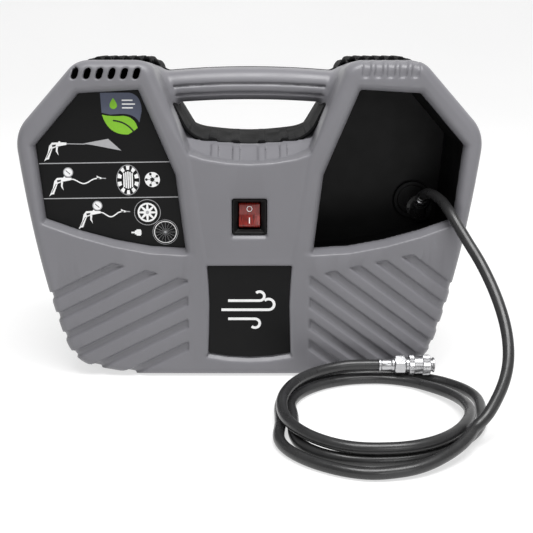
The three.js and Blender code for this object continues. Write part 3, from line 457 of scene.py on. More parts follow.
def groove_group(x, z, slope, first, pitch, pitch_change, count, stop_z, stop_slope, stop_x):
    """Raked grooves under the label or the bay, from 0 to 1 at full depth. first is where the first one's
    upper edge meets x = 0, and they stop at a line above them and at a distance from the middle."""
    tilt = math.cos(math.atan(slope))
    side = math.copysign(1, slope)
    ends = np.maximum(z - stop_z - stop_slope * x, side * x + stop_x)
    depth = np.zeros(x.shape)
    for i in range(count):
        below = (first - pitch * i + pitch_change * i * i + slope * x - z) * tilt
        profile = np.minimum(below / GROOVE_LIP, (GROOVE_WIDTH - below) / GROOVE_CHAMFER)
        profile = np.minimum(profile, -ends / GROOVE_END)
        depth = np.maximum(depth, np.clip(profile, 0, 1))
    return depth


COLUMN_DEPTH, CROWN_DEPTH = 0.9, 1.6


def front_relief(x, z):
    """How far the front face is sunk at each point, and the grooves alone from 0 to 1."""
    left = groove_group(x, z, 0.505, 167.7, 21.2, 0, 6, 79.2, -0.23, 54)
    right = groove_group(x, z, -0.75, 222.0, 22.5, 0.24, 8, 83.4, 0.217, 53)
    grooves = np.maximum(left, right)
    edge = 38.4 + (z - 106.3) * 0.15
    column = smooth_step((edge + 1.5 - np.abs(x)) / 4) * smooth_step((z - 100) / 12)
    crown = CROWN_DEPTH * (np.abs(x) / 200) ** 2
    return GROOVE_DEPTH * grooves + COLUMN_DEPTH * column + crown, grooves


PADS_X, PAD_HALF, PAD_FLANK = (-30.5, -11.5, 10.5, 29.5), 3.8, 1.2


def pads(x):
    """Raised ribs across the hand opening's lips, from 0 to 1."""
    nearest = np.min([np.abs(x - place) for place in PADS_X], axis=0)
    return smooth_step((PAD_HALF - nearest) / PAD_FLANK)


def handle_field(plane, y):
    """The carrying handle: a flattened bar with a gentle arch and two finger grooves along its front."""
    arch = 1.6 - 3.6 * (plane.x / HANDLE_REACH) ** 2
    half_y, half_z = (HANDLE_BACK - HANDLE_FRONT) / 2, (HANDLE_HIGH - HANDLE_LOW) / 2 + 0.8
    middle_z = (HANDLE_LOW + HANDLE_HIGH) / 2 + 0.2
    over_y = abs(y - (HANDLE_FRONT + HANDLE_BACK) / 2) - (half_y - HANDLE_ROUND)
    over_z = np.abs(plane.z - middle_z - arch) - (half_z - HANDLE_ROUND)
    outside = np.hypot(max(over_y, 0), np.maximum(over_z, 0))
    bar = outside + np.minimum(np.maximum(over_y, over_z), 0) - HANDLE_ROUND
    for up, setback in HANDLE_GROOVES:
        drift = plane.z - (middle_z + up) - arch
        back = HANDLE_FRONT + setback
        groove = (np.abs(drift + 0.7) - 1.5 + 0.62 * (y - back)) * 0.85
        groove = np.maximum(groove, np.abs(plane.x) - 68)
        bar = np.maximum(bar, -groove)
    return np.maximum(bar, np.abs(plane.x) - HANDLE_REACH)


SCOOP_LOW, SCOOP_HIGH, SCOOP_PAD = 188, 207.1, 2.1


def scoop_cut(plane, y, face_y, lip_y):
    """Space to remove for the sloped lip that leads fingers into the hand opening."""
    across = abs(lip_y - face_y)
    slope = (SCOOP_HIGH - SCOOP_LOW) / across
    run = abs(y - face_y)
    level = plane.z - SCOOP_LOW - slope * run
    grown = pads(plane.x) * SCOOP_PAD * (3 < run < across - 2)
    return np.maximum(plane.scoop, -(level - grown) * math.cos(math.atan(slope)))


FRONT_DROP = 8.2  # how far the front's shoulders fall towards the parting line
EDGE_ROUND, FACE_RUN = 8, 12  # the case's outer edges: 8 in from the side, 12 back from the face
HANDLE_FILLET = 9
POCKET_LIP = (9, 4.2, 9)  # the label's and the bay's lip: fillet radius, chamfer width and depth


def front_outer(plane, y):
    """The front shell's outer form, without its hollow and without the hose bay."""
    sunk = y - FRONT_Y
    drop = FRONT_DROP * np.clip((y + 72) / 72, 0, 1)
    outline = plane.lowered(plane.case, drop) + plane.run_out * np.clip((-48 - y) / 6, 0, 1)
    body = round_max(outline, (FRONT_Y + plane.relief - y) * EDGE_ROUND / FACE_RUN, EDGE_ROUND)
    body = round_max(body, -scoop_cut(plane, y, FRONT_Y, -50), 2.4)
    body = np.maximum(body, -sleeve_space(plane, y, WALL + GAP))
    body = round_min(body, handle_field(plane, y), HANDLE_FILLET)
    label = plane.pocket(plane.label, sunk, *POCKET_LIP)
    body = np.maximum(body, -np.maximum(label, y - POCKET_Y))
    name = plane.pocket(plane.plate, sunk, 2.2, 4.6, 5)
    body = round_max(body, -np.maximum(name, y - PLATE_Y), 0.5)
    switch = plane.pocket(plane.cutout, sunk, 2.4, 4.6, 4.5)
    return np.maximum(body, -np.maximum(switch, y - SWITCH_Y))


def sleeve_space(plane, y, wall):
    """Where the rear shell's tunnel passes inside the front shell, under and beside the hand opening."""
    return np.maximum(np.maximum(plane.opening - wall, plane.z - 240.2), SLEEVE_Y - GAP - y)


VENT_Z, VENT_R, VENT_HALF, VENT_PITCH, VENT_BACK_Y = 271.0, 2.7, 2.1, 10.35, -56
BLIND_Z, BLIND_R, BLIND_PITCH, BLIND_DEPTH, BLIND_BACK_Y = 270.5, 3.2, 10.3, 1.3, -66


def vents(plane, y, outer):
    """Six open slots in the left shoulder and five shallow blind ones in the right shoulder."""
    cut = np.full(plane.x.shape, NOTHING)
    lean = 0.3 * (plane.z - VENT_Z)
    for i in range(6):
        over_x = np.abs(plane.x + 146.2 - VENT_PITCH * i - lean)
        over_z = np.maximum(np.abs(plane.z - VENT_Z) - VENT_HALF, 0)
        cut = np.minimum(cut, np.maximum(np.hypot(over_x, over_z) - VENT_R, y - VENT_BACK_Y))
    for i in range(5):
        over_x = np.abs(plane.x - 97.4 - BLIND_PITCH * i - 0.12 * (plane.z - 270))
        over_z = np.maximum(BLIND_Z - plane.z, 0)
        slot = np.maximum(np.hypot(over_x, over_z) - BLIND_R, -outer - BLIND_DEPTH)
        cut = np.minimum(cut, np.maximum(slot, y - BLIND_BACK_Y))
    return cut


def front_field(plane, y):
    """The front shell: hollow, but left solid behind the bay's edge and the blind slots."""
    sunk = y - FRONT_Y
    outer = front_outer(plane, y)
    room = np.maximum(outer + WALL, FRONT_Y + WALL + 3 - y)
    rim = np.maximum(plane.bay - 2 * WALL, y + 69)
    blind = np.maximum(np.maximum(265 - plane.z, np.abs(plane.x - 118) - 28), y - BLIND_BACK_Y)
    room = np.maximum(room, -np.minimum(rim, blind))
    bay = plane.pocket(plane.bay, sunk, *POCKET_LIP)
    solid = np.maximum(outer, -np.maximum(bay, y + 30))
    solid = round_max(solid, -vents(plane, y, outer), 0.8)
    solid = np.maximum(solid, -np.maximum(plane.cutout, y + 60))
    return np.maximum(np.maximum(solid, -room), y + GAP / 2)


RIB_PITCH, RIB_DEPTH = 8.9, 4.2


def rear_outer(plane, y):
    """The rear shell's outer form with its ribbed shoulders, without its hollow."""
    drop = np.interp(y, [0, 40, 72, 84], [3, 5, 11, 17])
    inset = np.interp(y, [0, 40, 72], [0, 0.6, 4.5])
    shoulder = smooth_step((plane.z - 246) / 10) * smooth_step((155 - np.abs(plane.x)) / 3)
    leaning = (np.abs(plane.x) - 80 + 0.08 * y) / RIB_PITCH
    saw = leaning - np.floor(leaning)
    rib = smooth_step(np.minimum(saw / 0.36, (1 - saw) / 0.28))
    valleys = RIB_DEPTH * (1 - rib) * shoulder * smooth_step((72 - y) / 10)
    valleys = valleys * (np.abs(plane.x) > 76)
    outline = plane.lowered(plane.case, drop) + inset + valleys
    body = round_max(outline, (y - BACK_Y) * EDGE_ROUND / FACE_RUN, EDGE_ROUND)
    body = round_max(body, -scoop_cut(plane, y, BACK_Y, 45), 3.0)
    return round_min(body, handle_field(plane, y), HANDLE_FILLET)


SCREWS = [(side * x, z) for x, z in ((165, 92), (140, 28), (30, 115)) for side in (-1, 1)]
SCREW_HEAD_R, SCREW_SHANK_R, SCREW_SEAT_Y = 5.2, 2.6, 32.6
BOSS_R, BOSS_FRONT_Y = 8, 29
GLAND_X, GLAND_Z, GLAND_R = 120, 40, 10
CUT_FRONT_Y = 70  # the back's slots and gland hole go through everything behind this


def rear_field(plane, y):
    """The rear shell: hollow, with the hand tunnel, vent slots, screw bosses and the cord gland's hole."""
    solid = np.full(plane.x.shape, NOTHING)
    if y > -4:
        outer = rear_outer(plane, max(y, 0))
        solid = np.maximum(np.maximum(outer, -np.maximum(outer + WALL, y - BACK_Y + WALL)), GAP / 2 - y)
    floor_ribs = 2.2 * pads(plane.x * 0.95) * (plane.z < 216)
    sleeve = np.maximum(-plane.opening - floor_ribs, plane.opening - WALL)
    sleeve = np.maximum(sleeve, np.maximum(plane.z - 239.9, np.maximum(SLEEVE_Y - y, y - 12)))
    sleeve = np.maximum(sleeve, 1.2 - handle_field(plane, min(y, 0)))
    slots = np.full(plane.x.shape, NOTHING)
    for i in range(7):
        slot = plane.rounded_box(-90, 47.5 + 11 * i, 30, 2.5, 2.4)
        slots = np.minimum(slots, np.maximum(slot, CUT_FRONT_Y - y))
    solid = np.maximum(np.minimum(solid, sleeve), -slots)
    for x, z in SCREWS:
        away = np.hypot(plane.x - x, plane.z - z)
        boss = np.maximum(away - BOSS_R, np.maximum(BOSS_FRONT_Y - y, y - BACK_Y + 2))
        bore = away - (SCREW_HEAD_R if y > SCREW_SEAT_Y else SCREW_SHANK_R)
        solid = np.maximum(np.minimum(solid, boss), -bore)
    gland = np.maximum(np.hypot(plane.x - GLAND_X, plane.z - GLAND_Z) - GLAND_R, CUT_FRONT_Y - y)
    return np.maximum(solid, -gland)


CELL_CORNERS = [(i, j, k) for i in (0, 1) for j in (0, 1) for k in (0, 1)]
CELL_EDGES = [(a, b) for a in range(8) for b in range(a + 1, 8)
              if sum(abs(p - q) for p, q in zip(CELL_CORNERS[a], CELL_CORNERS[b])) == 1]


def crossing_middles(field, cells):
    """For each cell, the middle of the places where the surface crosses its edges, in grid steps."""
    corner = [field[tuple((cells + offset).T)] for offset in CELL_CORNERS]
    total, hits = np.zeros((len(cells), 3)), np.zeros(len(cells))
    for a, b in CELL_EDGES:
        cross = (corner[a] < 0) != (corner[b] < 0)
        share = np.where(cross, corner[a] / np.where(cross, corner[a] - corner[b], 1), 0)[:, None]
        start, end = np.array(CELL_CORNERS[a]), np.array(CELL_CORNERS[b])
        total += np.where(cross[:, None], start + share * (end - start), 0)
        hits += cross
    return cells + total / hits[:, None]


def quads_along(axis, inside, number):
    """A quad, facing outwards, round each grid edge along axis that the surface crosses."""
    low, high = [slice(None)] * 3, [slice(None)] * 3
    low[axis], high[axis] = slice(None, -1), slice(1, None)
    edges = np.argwhere(inside[tuple(low)] != inside[tuple(high)])
    u, v = (axis + 1) % 3, (axis + 2) % 3
    inner = (edges[:, u] > 0) & (edges[:, v] > 0)
    inner &= (edges[:, u] < inside.shape[u] - 1) & (edges[:, v] < inside.shape[v] - 1)
    edges = edges[inner]
    ring = []
    for du, dv in ((1, 1), (0, 1), (0, 0), (1, 0)):
        at = edges.copy()
        at[:, u] -= du
        at[:, v] -= dv
        ring.append(number[tuple(at.T)])
    ring = np.stack(ring, axis=1)
    flip = ~inside[tuple(edges.T)]
    ring[flip] = ring[flip][:, ::-1]
    return ring


def surface(field_at, plane, ys):
    """Closed quad mesh of the zero level of field_at(plane, y), by surface nets on the grid."""
    field = np.stack([field_at(plane, y) for y in ys], axis=1).astype(np.float32)
    field[:, 0], field[:, -1] = np.maximum(field[:, 0], 1e-3), np.maximum(field[:, -1], 1e-3)
    inside = field < 0
    views = [inside[i:i - 1 or None, j:j - 1 or None, k:k - 1 or None] for i, j, k in CELL_CORNERS]
    crossed = np.logical_or.reduce(views) & ~np.logical_and.reduce(views)
    cells = np.argwhere(crossed)
    number = np.full(crossed.shape, -1, np.int32)
    number[crossed] = np.arange(len(cells))
    where = crossing_middles(field, cells)
    axes = (plane.xs, np.asarray(ys), plane.zs)
    points = [np.interp(where[:, k], np.arange(len(axes[k])), axes[k]) for k in range(3)]
    return np.stack(points, axis=1), np.concatenate([quads_along(k, inside, number) for k in range(3)])


def grid_mesh(name, points, quads):
    mesh = bpy.data.meshes.new(name)
    mesh.vertices.add(len(points))
    mesh.vertices.foreach_set("co", (points * MM).astype(np.float32).ravel())
    mesh.loops.add(quads.size)
    mesh.loops.foreach_set("vertex_index", quads.ravel().astype(np.int32))
    mesh.polygons.add(len(quads))
    mesh.polygons.foreach_set("loop_start", np.arange(0, quads.size, 4, dtype=np.int32))
    mesh.update(calc_edges=True)
    mesh.polygons.foreach_set("use_smooth", np.ones(len(quads), bool))
    return mesh


FACE_LIMIT = 190_000  # triangles that one shell may have


def shell_piece(name, node, field, ys, material):
    points, quads = surface(field, grid, ys)
    piece = link(name, grid_mesh(name, points, quads), material)
    if 2 * len(quads) > FACE_LIMIT:
        thin = piece.modifiers.new("thin", "DECIMATE")
        thin.ratio = FACE_LIMIT / (2 * len(quads))
        modified(piece)
    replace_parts(piece, node)


# The slices' places along Y: close together where the form changes quickly.
PITCH = 1.25
grid = Plane(PITCH)
front_ys = [*np.arange(-85.6, -60, PITCH), *np.arange(-60, -31, 2.4),
            *np.arange(-30, -22, 0.9), *np.arange(-21, -6, 2.4), *np.arange(-5, 1.5, 1.2)]
rear_ys = [*np.arange(SLEEVE_Y - 2, SLEEVE_Y + 4, 1.2), *np.arange(SLEEVE_Y + 5, -2, 2.8),
           *np.arange(-1.8, 8, 1.2), *np.arange(8, 66, 1.8), *np.arange(66, 86, PITCH)]
shell_piece("front_case", "front_shell", front_field, front_ys, grey_plastic)
shell_piece("rear_case", "rear_shell", rear_field, rear_ys, black_plastic)

# ------------------ printed label
INK_STEP, INK_SUNK = 0.1, 0.02  # how far one layer of ink stands out, and how close its back comes
DISC_SIDES, RING_SIDES = 40, 48


class Print:
    """Thin raised ink on a flat panel that faces the front, one piece for each ink."""

    def __init__(self, panel, panel_y):
        self.panel = panel
        self.panel_y = panel_y
        self.inks = {}

    def shape(self, ink, points, layer=1):
        corners, faces = self.inks.setdefault(ink, ([], []))
        first, count = len(corners), len(points)
        for y in (self.panel_y - INK_SUNK, self.panel_y - INK_STEP * layer):
            corners.extend((x, y, z) for x, z in points)
        back = list(range(first, first + count))
        front = list(range(first + count, first + 2 * count))
        faces.append(back)
        faces.append(front[::-1])
        for i in range(count):
            j = (i + 1) % count
            faces.append((back[j], back[i], front[i], front[j]))

    def disc(self, ink, x, z, radius, layer=1):
        self.shape(ink, around(x, z, radius, radius, DISC_SIDES), layer)

    def ring(self, ink, x, z, radius, width, layer=1, tall=1.0):
        """An annulus, or an oval band where tall isn't 1, made of short pieces that share edges."""
        outer = around(x, z, radius, radius * tall, RING_SIDES)
        inner = around(x, z, radius - width, radius * tall - width, RING_SIDES)
        for i in range(RING_SIDES):
            j = (i + 1) % RING_SIDES
            self.shape(ink, [outer[i], outer[j], inner[j], inner[i]], layer)

    def stroke(self, ink, points, width, layer=1):
        """A line of even width through points."""
        points = [np.array(point, float) for point in points]
        left, right = [], []
        for i, point in enumerate(points):
            run = points[min(i + 1, len(points) - 1)] - points[max(i - 1, 0)]
            side = np.array((-run[1], run[0])) / np.linalg.norm(run) * width / 2
            left.append(tuple(point + side))
            right.append(tuple(point - side))
        self.shape(ink, left + right[::-1], layer)

    def make(self, materials):
        for ink, (corners, faces) in self.inks.items():
            piece = mesh_piece(f"{self.panel}_{ink}", corners, faces, materials[ink], smooth=False)


def moved(points, x, z):
    return [(x + px, z + pz) for px, pz in points]


def ink(name, color):
    look = Look(name, color, 0.45, Specular_IOR_Level=0.3)
    look.tint(look.remap(look.noise(400, 3), 0, 1), scaled(color, 0.93), color)
    return look.bump((look.noise(2500, 2), 0.15, 0.00005)).material


INKS = {
    "white": ink("ink_white", (0.80, 0.80, 0.80)), "silver": ink("ink_silver", (0.36, 0.36, 0.37)),
    "green": ink("ink_green", (0.20, 0.46, 0.025)), "slate": ink("ink_slate", (0.075, 0.085, 0.125)),
    "dark": ink("ink_dark", (0.007, 0.007, 0.007)),
}

# A pistol-grip blow gun pointing right, drawn around the root of its nozzle.
GUN_BODY = [(-20, -15.6), (-17.5, -14), (-15.8, -13.8), (-12.2, -4.4), (-7.4, -2.6), (0, -1.2), (0, 0.8),
            (-5, 0.9), (-5.6, 1.9), (-6.6, 1.9), (-7, 0.9), (-12.6, 0.6), (-15, -2.2), (-16.6, -8.6)]
GUN_TRIGGER = [(-9.2, -3.2), (-9.4, -7), (-7.2, -10.4), (-8, -6.6), (-7.4, -3)]
GUN_WINDOW = [(-12.6, -1.4), (-9, -0.9), (-9.4, -2.4), (-12.2, -3.2)]
# The connector at the end of a gauge's hose, and a small adapter.
HOSE_END = [(-2.4, -0.7), (1.4, -0.6), (1.4, 0.8), (-0.6, 1.2), (-2.6, 2.4)]
ADAPTER = [(-4.6, -0.7), (-1.6, -0.7), (-1.6, -1.6), (0, -2), (0, -2.8), (3.4, -2.9), (4.2, -1.6), (4.2, 1.6),
           (3.4, 2.9), (0, 2.8), (0, 2), (-1.6, 1.6), (-1.6, 0.7), (-4.6, 0.7)]


def blow_gun(label, x, z):
    label.shape("white", moved(GUN_BODY, x, z))
    label.shape("white", moved(GUN_TRIGGER, x, z))
    label.shape("dark", moved(GUN_WINDOW, x, z), 2)
    label.stroke("dark", moved([(-17.6, -12.4), (-13.4, -4.6)], x, z), 0.5, 2)


def gauge_gun(label, x, z, tip):
    """A tyre inflator: gun, dial and a short hose that ends at tip."""
    blow_gun(label, x, z)
    label.disc("white", x - 2.6, z + 5.6, 4.3)
    label.ring("silver", x - 2.6, z + 5.6, 4.3, 0.8, 2)
    label.stroke("dark", [(x - 4.6, z + 7.2), (x - 1.0, z + 4.0)], 0.6, 2)
    hose = [(x + t * tip, z - 4.2 * math.sin(math.pi * min(1, t * 1.15)) ** 2 - 0.4 + 0.6 * t)
            for t in np.linspace(0, 1, 16)]
    label.stroke("white", hose, 1.0)
    label.shape("white", moved(HOSE_END, x + tip, z + 0.3))
    label.stroke("silver", [(x + tip + 1.4, z + 0.4), (x + tip + 5.4, z + 0.3)], 0.8)


def boat(label, x, z):
    """An inflatable boat seen from above, with a patterned tube and a slatted floor."""
    label.ring("silver", x, z, 10.2, 0.5, tall=1.32)
    for i in range(10):
        turn = 2 * math.pi * (i + 0.5) / 10
        sides = np.linspace(turn - 0.17, turn + 0.17, 5)
        outer = [(x + 9.3 * math.cos(t), z + 12.6 * math.sin(t)) for t in sides]
        inner = [(x + 6.0 * math.cos(t), z + 9.0 * math.sin(t)) for t in sides[::-1]]
        label.shape("white", outer + inner)
    for i in range(5):
        column = x - 3.6 + 1.8 * i
        half = 7.6 - 0.5 * abs(i - 2) ** 1.5
        label.stroke("white", [(column, z - half), (column, z + half)], 1.15)


def ball(label, x, z, radius):
    label.disc("white", x, z, radius)
    label.shape("dark", around(x, z, 2.1, 2.1, 5), 2)
    for i in range(5):
        turn = 2 * math.pi * (i + 0.5) / 5
        out_x, out_z = math.cos(turn), math.sin(turn)
        label.shape("dark", around(x + 5.1 * out_x, z + 5.1 * out_z, 1.25, 1.25, 6), 2)
        label.stroke("dark", [(x + r * out_x, z + r * out_z) for r in (1.9, 4.2)], 0.35, 2)


def car_wheel(label, x, z):
    label.ring("silver", x, z, 11.6, 0.45)
    label.disc("white", x, z, 8.6)
    for i in range(8):
        turn = 2 * math.pi * (i + 0.5) / 8
        cos, sin = math.cos(turn), math.sin(turn)
        hole = [(a * cos - b * sin, a * sin + b * cos) for a, b in ((3.0, 0.0), (6.9, 2.0), (6.9, -2.0))]
        label.shape("dark", moved(hole, x, z), 2)
    label.disc("silver", x, z, 1.5, 2)


def bicycle_wheel(label, x, z):
    label.ring("silver", x, z, 11.2, 0.35)
    label.ring("white", x, z, 9.9, 0.6)
    for i in range(16):
        turn = math.pi * i / 8
        spoke = [(x + r * math.cos(turn), z + r * math.sin(turn)) for r in (1.0, 9.2)]
        label.stroke("silver", spoke, 0.14)
    label.disc("silver", x, z, 1.0, 2)


def leaf_badge(label):
    """A plain badge: a drop and three bars over a leaf."""
    top = [(-127, 254), (-102, 254)] + bend((-102, 254), (-91.5, 252), (-92, 238), 8) + [(-94.2, 228.6)]
    top += bend((-94.2, 228.6), (-98, 236.5), (-110, 236), 8) + [(-119, 235.4), (-126.2, 237)]
    label.shape("slate", top)
    leaf = [(-126, 235.4)] + bend((-126, 235.4), (-118, 233.4), (-108, 234.4), 6)
    leaf += bend((-108, 234.4), (-98, 233.6), (-95.8, 224), 8) + [(-99.4, 221.2), (-104, 218.4)]
    leaf += bend((-104, 218.4), (-121, 217.4), (-126, 235.4), 10)[:-1]
    label.shape("green", leaf)
    label.stroke("dark", bend((-119.4, 230.4), (-106, 230.6), (-99, 220.4), 10), 1.3, 2)
    drop = [(0, 5.2)] + bend((0, 5.2), (4.2, -0.4), (2.9, -2.6), 5)
    drop += bend((2.9, -2.6), (0, -6), (-2.9, -2.6), 6)
    drop += bend((-2.9, -2.6), (-4.2, -0.4), (0, 5.2), 5)[:-1]
    label.shape("green", moved(drop, -116, 244.4), 2)
    for end, z in ((-99.4, 247.6), (-97.4, 244.4), (-99.4, 241.2)):
        label.stroke("white", [(-108.6, z), (end, z)], 1.1, 2)


def label_print():
    label = Print("label_print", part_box("label_panel")[0][1] / MM)
    leaf_badge(label)
    label.stroke("silver", [(-182, 193.0), (-68.6, 194.7)], 0.8)
    label.stroke("silver", [(-179.6, 162.0), (-62, 163.6)], 0.8)
    blow_gun(label, -157.5, 210.6)
    label.stroke("silver", [(-157.5, 210.3), (-141, 210.0)], 0.7)
    label.shape("silver", [(-144, 210.4), (-121.5, 214.6), (-110.4, 204.4), (-135, 209.2)])
    gauge_gun(label, -154.6, 179.8, 24.6)
    boat(label, -105.4, 178.6)
    ball(label, -84.4, 179.0, 6.6)
    gauge_gun(label, -130.4, 150.2, 20.5)
    car_wheel(label, -89.4, 149.8)
    bicycle_wheel(label, -74.0, 132.0)
    label.shape("white", moved(ADAPTER, -99.4, 131.6))
    label.make(INKS)


def plate_print():
    """A plain moving-air sign: three lines that curl back at their ends."""
    plate = Print("plate_print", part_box("nameplate")[0][1] / MM)
    for z, start, end, curl in ((71.5, -19, 9, 4.2), (63, -25, 17, 5.0), (54.5, -19, 5, -4.2)):
        turn = np.linspace(-math.pi / 2, math.pi * 0.75, 16)
        hook = [(end + abs(curl) * math.cos(t), z + curl + curl * math.sin(t)) for t in turn]
        plate.stroke("white", [(start, z), (end - 4, z)] + hook, 2.4)
    plate.make(INKS)


label_print()
plate_print()


# ------------------ power switch
ROCKER_PIVOT = (0, -73, SWITCH_Z)
ROCKER_TILT = math.radians(-11)


def loop_points(half_x, half_z, radius, y):
    """A rounded rectangle round the switch that faces the front."""
    points = []
    for corner_x, corner_z, start in ((1, 1, 0), (-1, 1, 90), (-1, -1, 180), (1, -1, 270)):
        for i in range(7):
            angle = math.radians(start + 15 * i)
            x = corner_x * (half_x - radius) + radius * math.cos(angle)
            points.append((x, y, SWITCH_Z + corner_z * (half_z - radius) + radius * math.sin(angle)))
    return points


def tidy_normals(piece):
    piece.data.validate()
    held = bmesh.new()
    held.from_mesh(piece.data)
    bmesh.ops.recalc_face_normals(held, faces=held.faces)
    held.to_mesh(piece.data)
    held.free()
    return piece


def crisp(piece):
    """Smooth shading that stops at the piece's real edges."""
    tidy_normals(piece).data.set_sharp_from_angle(angle=math.radians(32))
    return piece


def bevelled(piece, width, segments, angle):
    tidy_normals(piece)
    bevel = piece.modifiers.new("bevel", "BEVEL")
    bevel.width, bevel.segments = width * MM, segments
    bevel.limit_method, bevel.angle_limit = "ANGLE", math.radians(angle)
    return modified(piece)


# The bezel's section, as rounded rectangles: (half width, half height, corner radius, y).
BEZEL = [(13.2, 14.2, 1, -66), (15, 16, 1.4, -66), (15, 16, 1.8, -80.3), (14.4, 15.4, 1.7, -81),
         (13.4, 14.4, 1.5, -80.9), (11.0, 12.9, 1.0, -77.6), (10.2, 12.1, 0.8, -77.0), (10.0, 11.9, 0.8, -66)]


def switch_bezel():
    loops = [loop_points(*row) for row in BEZEL]
    piece = mesh_piece("switch_frame", [point for loop in loops for point in loop],
                       looped_faces(len(loops), len(loops[0])), recess_black_with_painted_shade)
    bevelled(piece, 0.3, 2, 25)
    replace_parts(piece, "switch_bezel")


# Section of the rocker across its pivot: [up, outwards].
ROCKER_SECTION = [(-10.9, -3), (-10.9, 2.4), (-10.2, 4.2), (-8.8, 5.0), (0, 3.2), (8.8, 5.0), (10.2, 4.2),
                  (10.9, 2.4), (10.9, -3)]
ROCKER_HALF = 9.2
MARK_LIFTS = (-0.3, 0.14)  # a mark's back, inside the rocker, and its front, just proud of it
OFF_UP, OFF_RADII, OFF_SIDES = 5.2, (1.9, 2.5), 28
ON_CORNERS = ((-0.4, -7.6), (0.4, -7.6), (0.4, -2.4), (-0.4, -2.4))


def rocker_face(up):
    """How far out the rocker's face stands at a height on it."""
    return 3.2 + 1.8 * abs(up) / 8.8


def rocker_place(x, up, out):
    """A point on the rocker as it lies at rest."""
    cos, sin = math.cos(ROCKER_TILT), math.sin(ROCKER_TILT)
    y, z = -out, up
    return (x, ROCKER_PIVOT[1] + y * cos - z * sin, ROCKER_PIVOT[2] + y * sin + z * cos)


def switch_rocker():
    count = len(ROCKER_SECTION)
    points = [rocker_place(x, up, out) for x in (-ROCKER_HALF, ROCKER_HALF) for up, out in ROCKER_SECTION]
    faces = [tuple(range(count)), tuple(range(count, 2 * count))[::-1]]
    faces += [(k, count + k, count + (k + 1) % count, (k + 1) % count) for k in range(count)]
    piece = mesh_piece("rocker_lens", points, faces, rocker_red, "rocker")
    bevelled(piece, 0.55, 4, 8)
    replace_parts(piece, "power_switch_rocker")


def rocker_mark(name, points, faces, smooth=True):
    mark = mesh_piece(name, points, faces, INKS["white"], "rocker", smooth)
    tidy_normals(mark)


def rocker_marks():
    """A bar for on and a ring for off."""
    bar = [rocker_place(x, up, rocker_face(up) + lift) for lift in MARK_LIFTS for x, up in ON_CORNERS]
    bar_faces = [(0, 1, 2, 3), (7, 6, 5, 4), (0, 4, 5, 1), (1, 5, 6, 2), (2, 6, 7, 3), (3, 7, 4, 0)]
    rocker_mark("rocker_on_mark", bar, bar_faces, smooth=False)
    ring = []
    (back, front), (inner, outer) = MARK_LIFTS, OFF_RADII
    for lift, radius in ((back, inner), (back, outer), (front, outer), (front, inner)):
        for x, up in around(0, OFF_UP, radius, radius, OFF_SIDES):
            ring.append(rocker_place(x, up, rocker_face(up) + lift))
    rocker_mark("rocker_off_mark", ring, looped_faces(4, OFF_SIDES))


switch_bezel()
switch_rocker()
rocker_marks()


# ------------------ hose fittings
AXIS = (COUPLER_Y, COUPLER_Z)


def reshaped(piece, share_at):
    """Scales each vertex's distance from AXIS by share_at(x, radius, angle)."""
    for vertex in piece.data.vertices:
        x, y, z = (v / MM for v in vertex.co)
        y, z = y - AXIS[0], z - AXIS[1]
        share = share_at(x, math.hypot(y, z), math.atan2(z, y))
        vertex.co.y = (AXIS[0] + y * share) * MM
        vertex.co.z = (AXIS[1] + z * share) * MM
    return crisp(piece)


def crimped(x, radius, angle):
    """Eight flats in the middle of the ferrule, with slightly raised corners."""
    if 116.9 < x < 125.1 and radius > 4:
        return 0.92 + 0.08 / math.cos(angle % (math.pi / 4) - math.pi / 8)
    return 1


def hexagonal(x, radius, angle):
    """Six flats on the nut."""
    if radius > 5:
        turn = (angle + math.pi / 6) % (math.pi / 3) - math.pi / 6
        return min(radius, NUT_R * math.cos(math.pi / 6) / math.cos(turn)) / radius
    return 1


def knurled(x, radius, angle):
    """Straight knurling on the sleeve's two bands."""
    if radius > 8.1 and any(low - 1e-3 <= x <= high + 1e-3 for low, high in KNURLED_X):
        return (radius - KNURL_DEPTH * (0.5 - 0.5 * math.cos(angle * KNURL_TEETH))) / radius
    return 1


NUT_R = 8.7
KNURLED_X, KNURL_TEETH, KNURL_DEPTH = [(141.1, 144.7), (152.9, 158.6)], 46, 0.28
# Each fitting's section: (x, radius).
FERRULE = [(114.1, 4.7), (114.1, 5.3), (114.5, 5.7), (115.9, 5.7), (116.4, 5.2), (117.0, 4.95), (117.4, 5.1),
           (124.6, 5.1), (125.0, 4.95), (125.6, 5.2), (126.1, 5.7), (127.5, 5.7), (127.9, 5.3), (127.9, 3),
           (127.9, 2.5), (114.1, 2.5)]
NUT = [(128.2, 3), (128.2, 7.6), (128.9, 8.5), (129.4, 8.7), (136.2, 8.7), (136.8, 8.4), (137.6, 7.4),
       (137.6, 3)]
CORE = [(137.9, 3), (137.9, 5.6), (138.3, 6.2), (159.9, 6.2), (160.3, 5.7), (161.2, 5.7), (161.5, 6.5),
        (162.7, 6.6), (163.1, 6.2), (163.1, 4.7), (162.6, 4.3), (152, 4.3), (151, 3.4), (150, 3.4),
        (150, 0.4), (149, 0.4), (149, 3)]
SLEEVE = [(140.7, 6.6), (140.7, 8.3), (141.1, 8.8), (144.7, 8.8), (145.1, 8.3), (145.3, 7.9), (152.2, 7.9),
          (152.5, 8.4), (152.9, 8.9), (158.6, 8.9), (159.2, 8.3), (159.2, 6.6)]


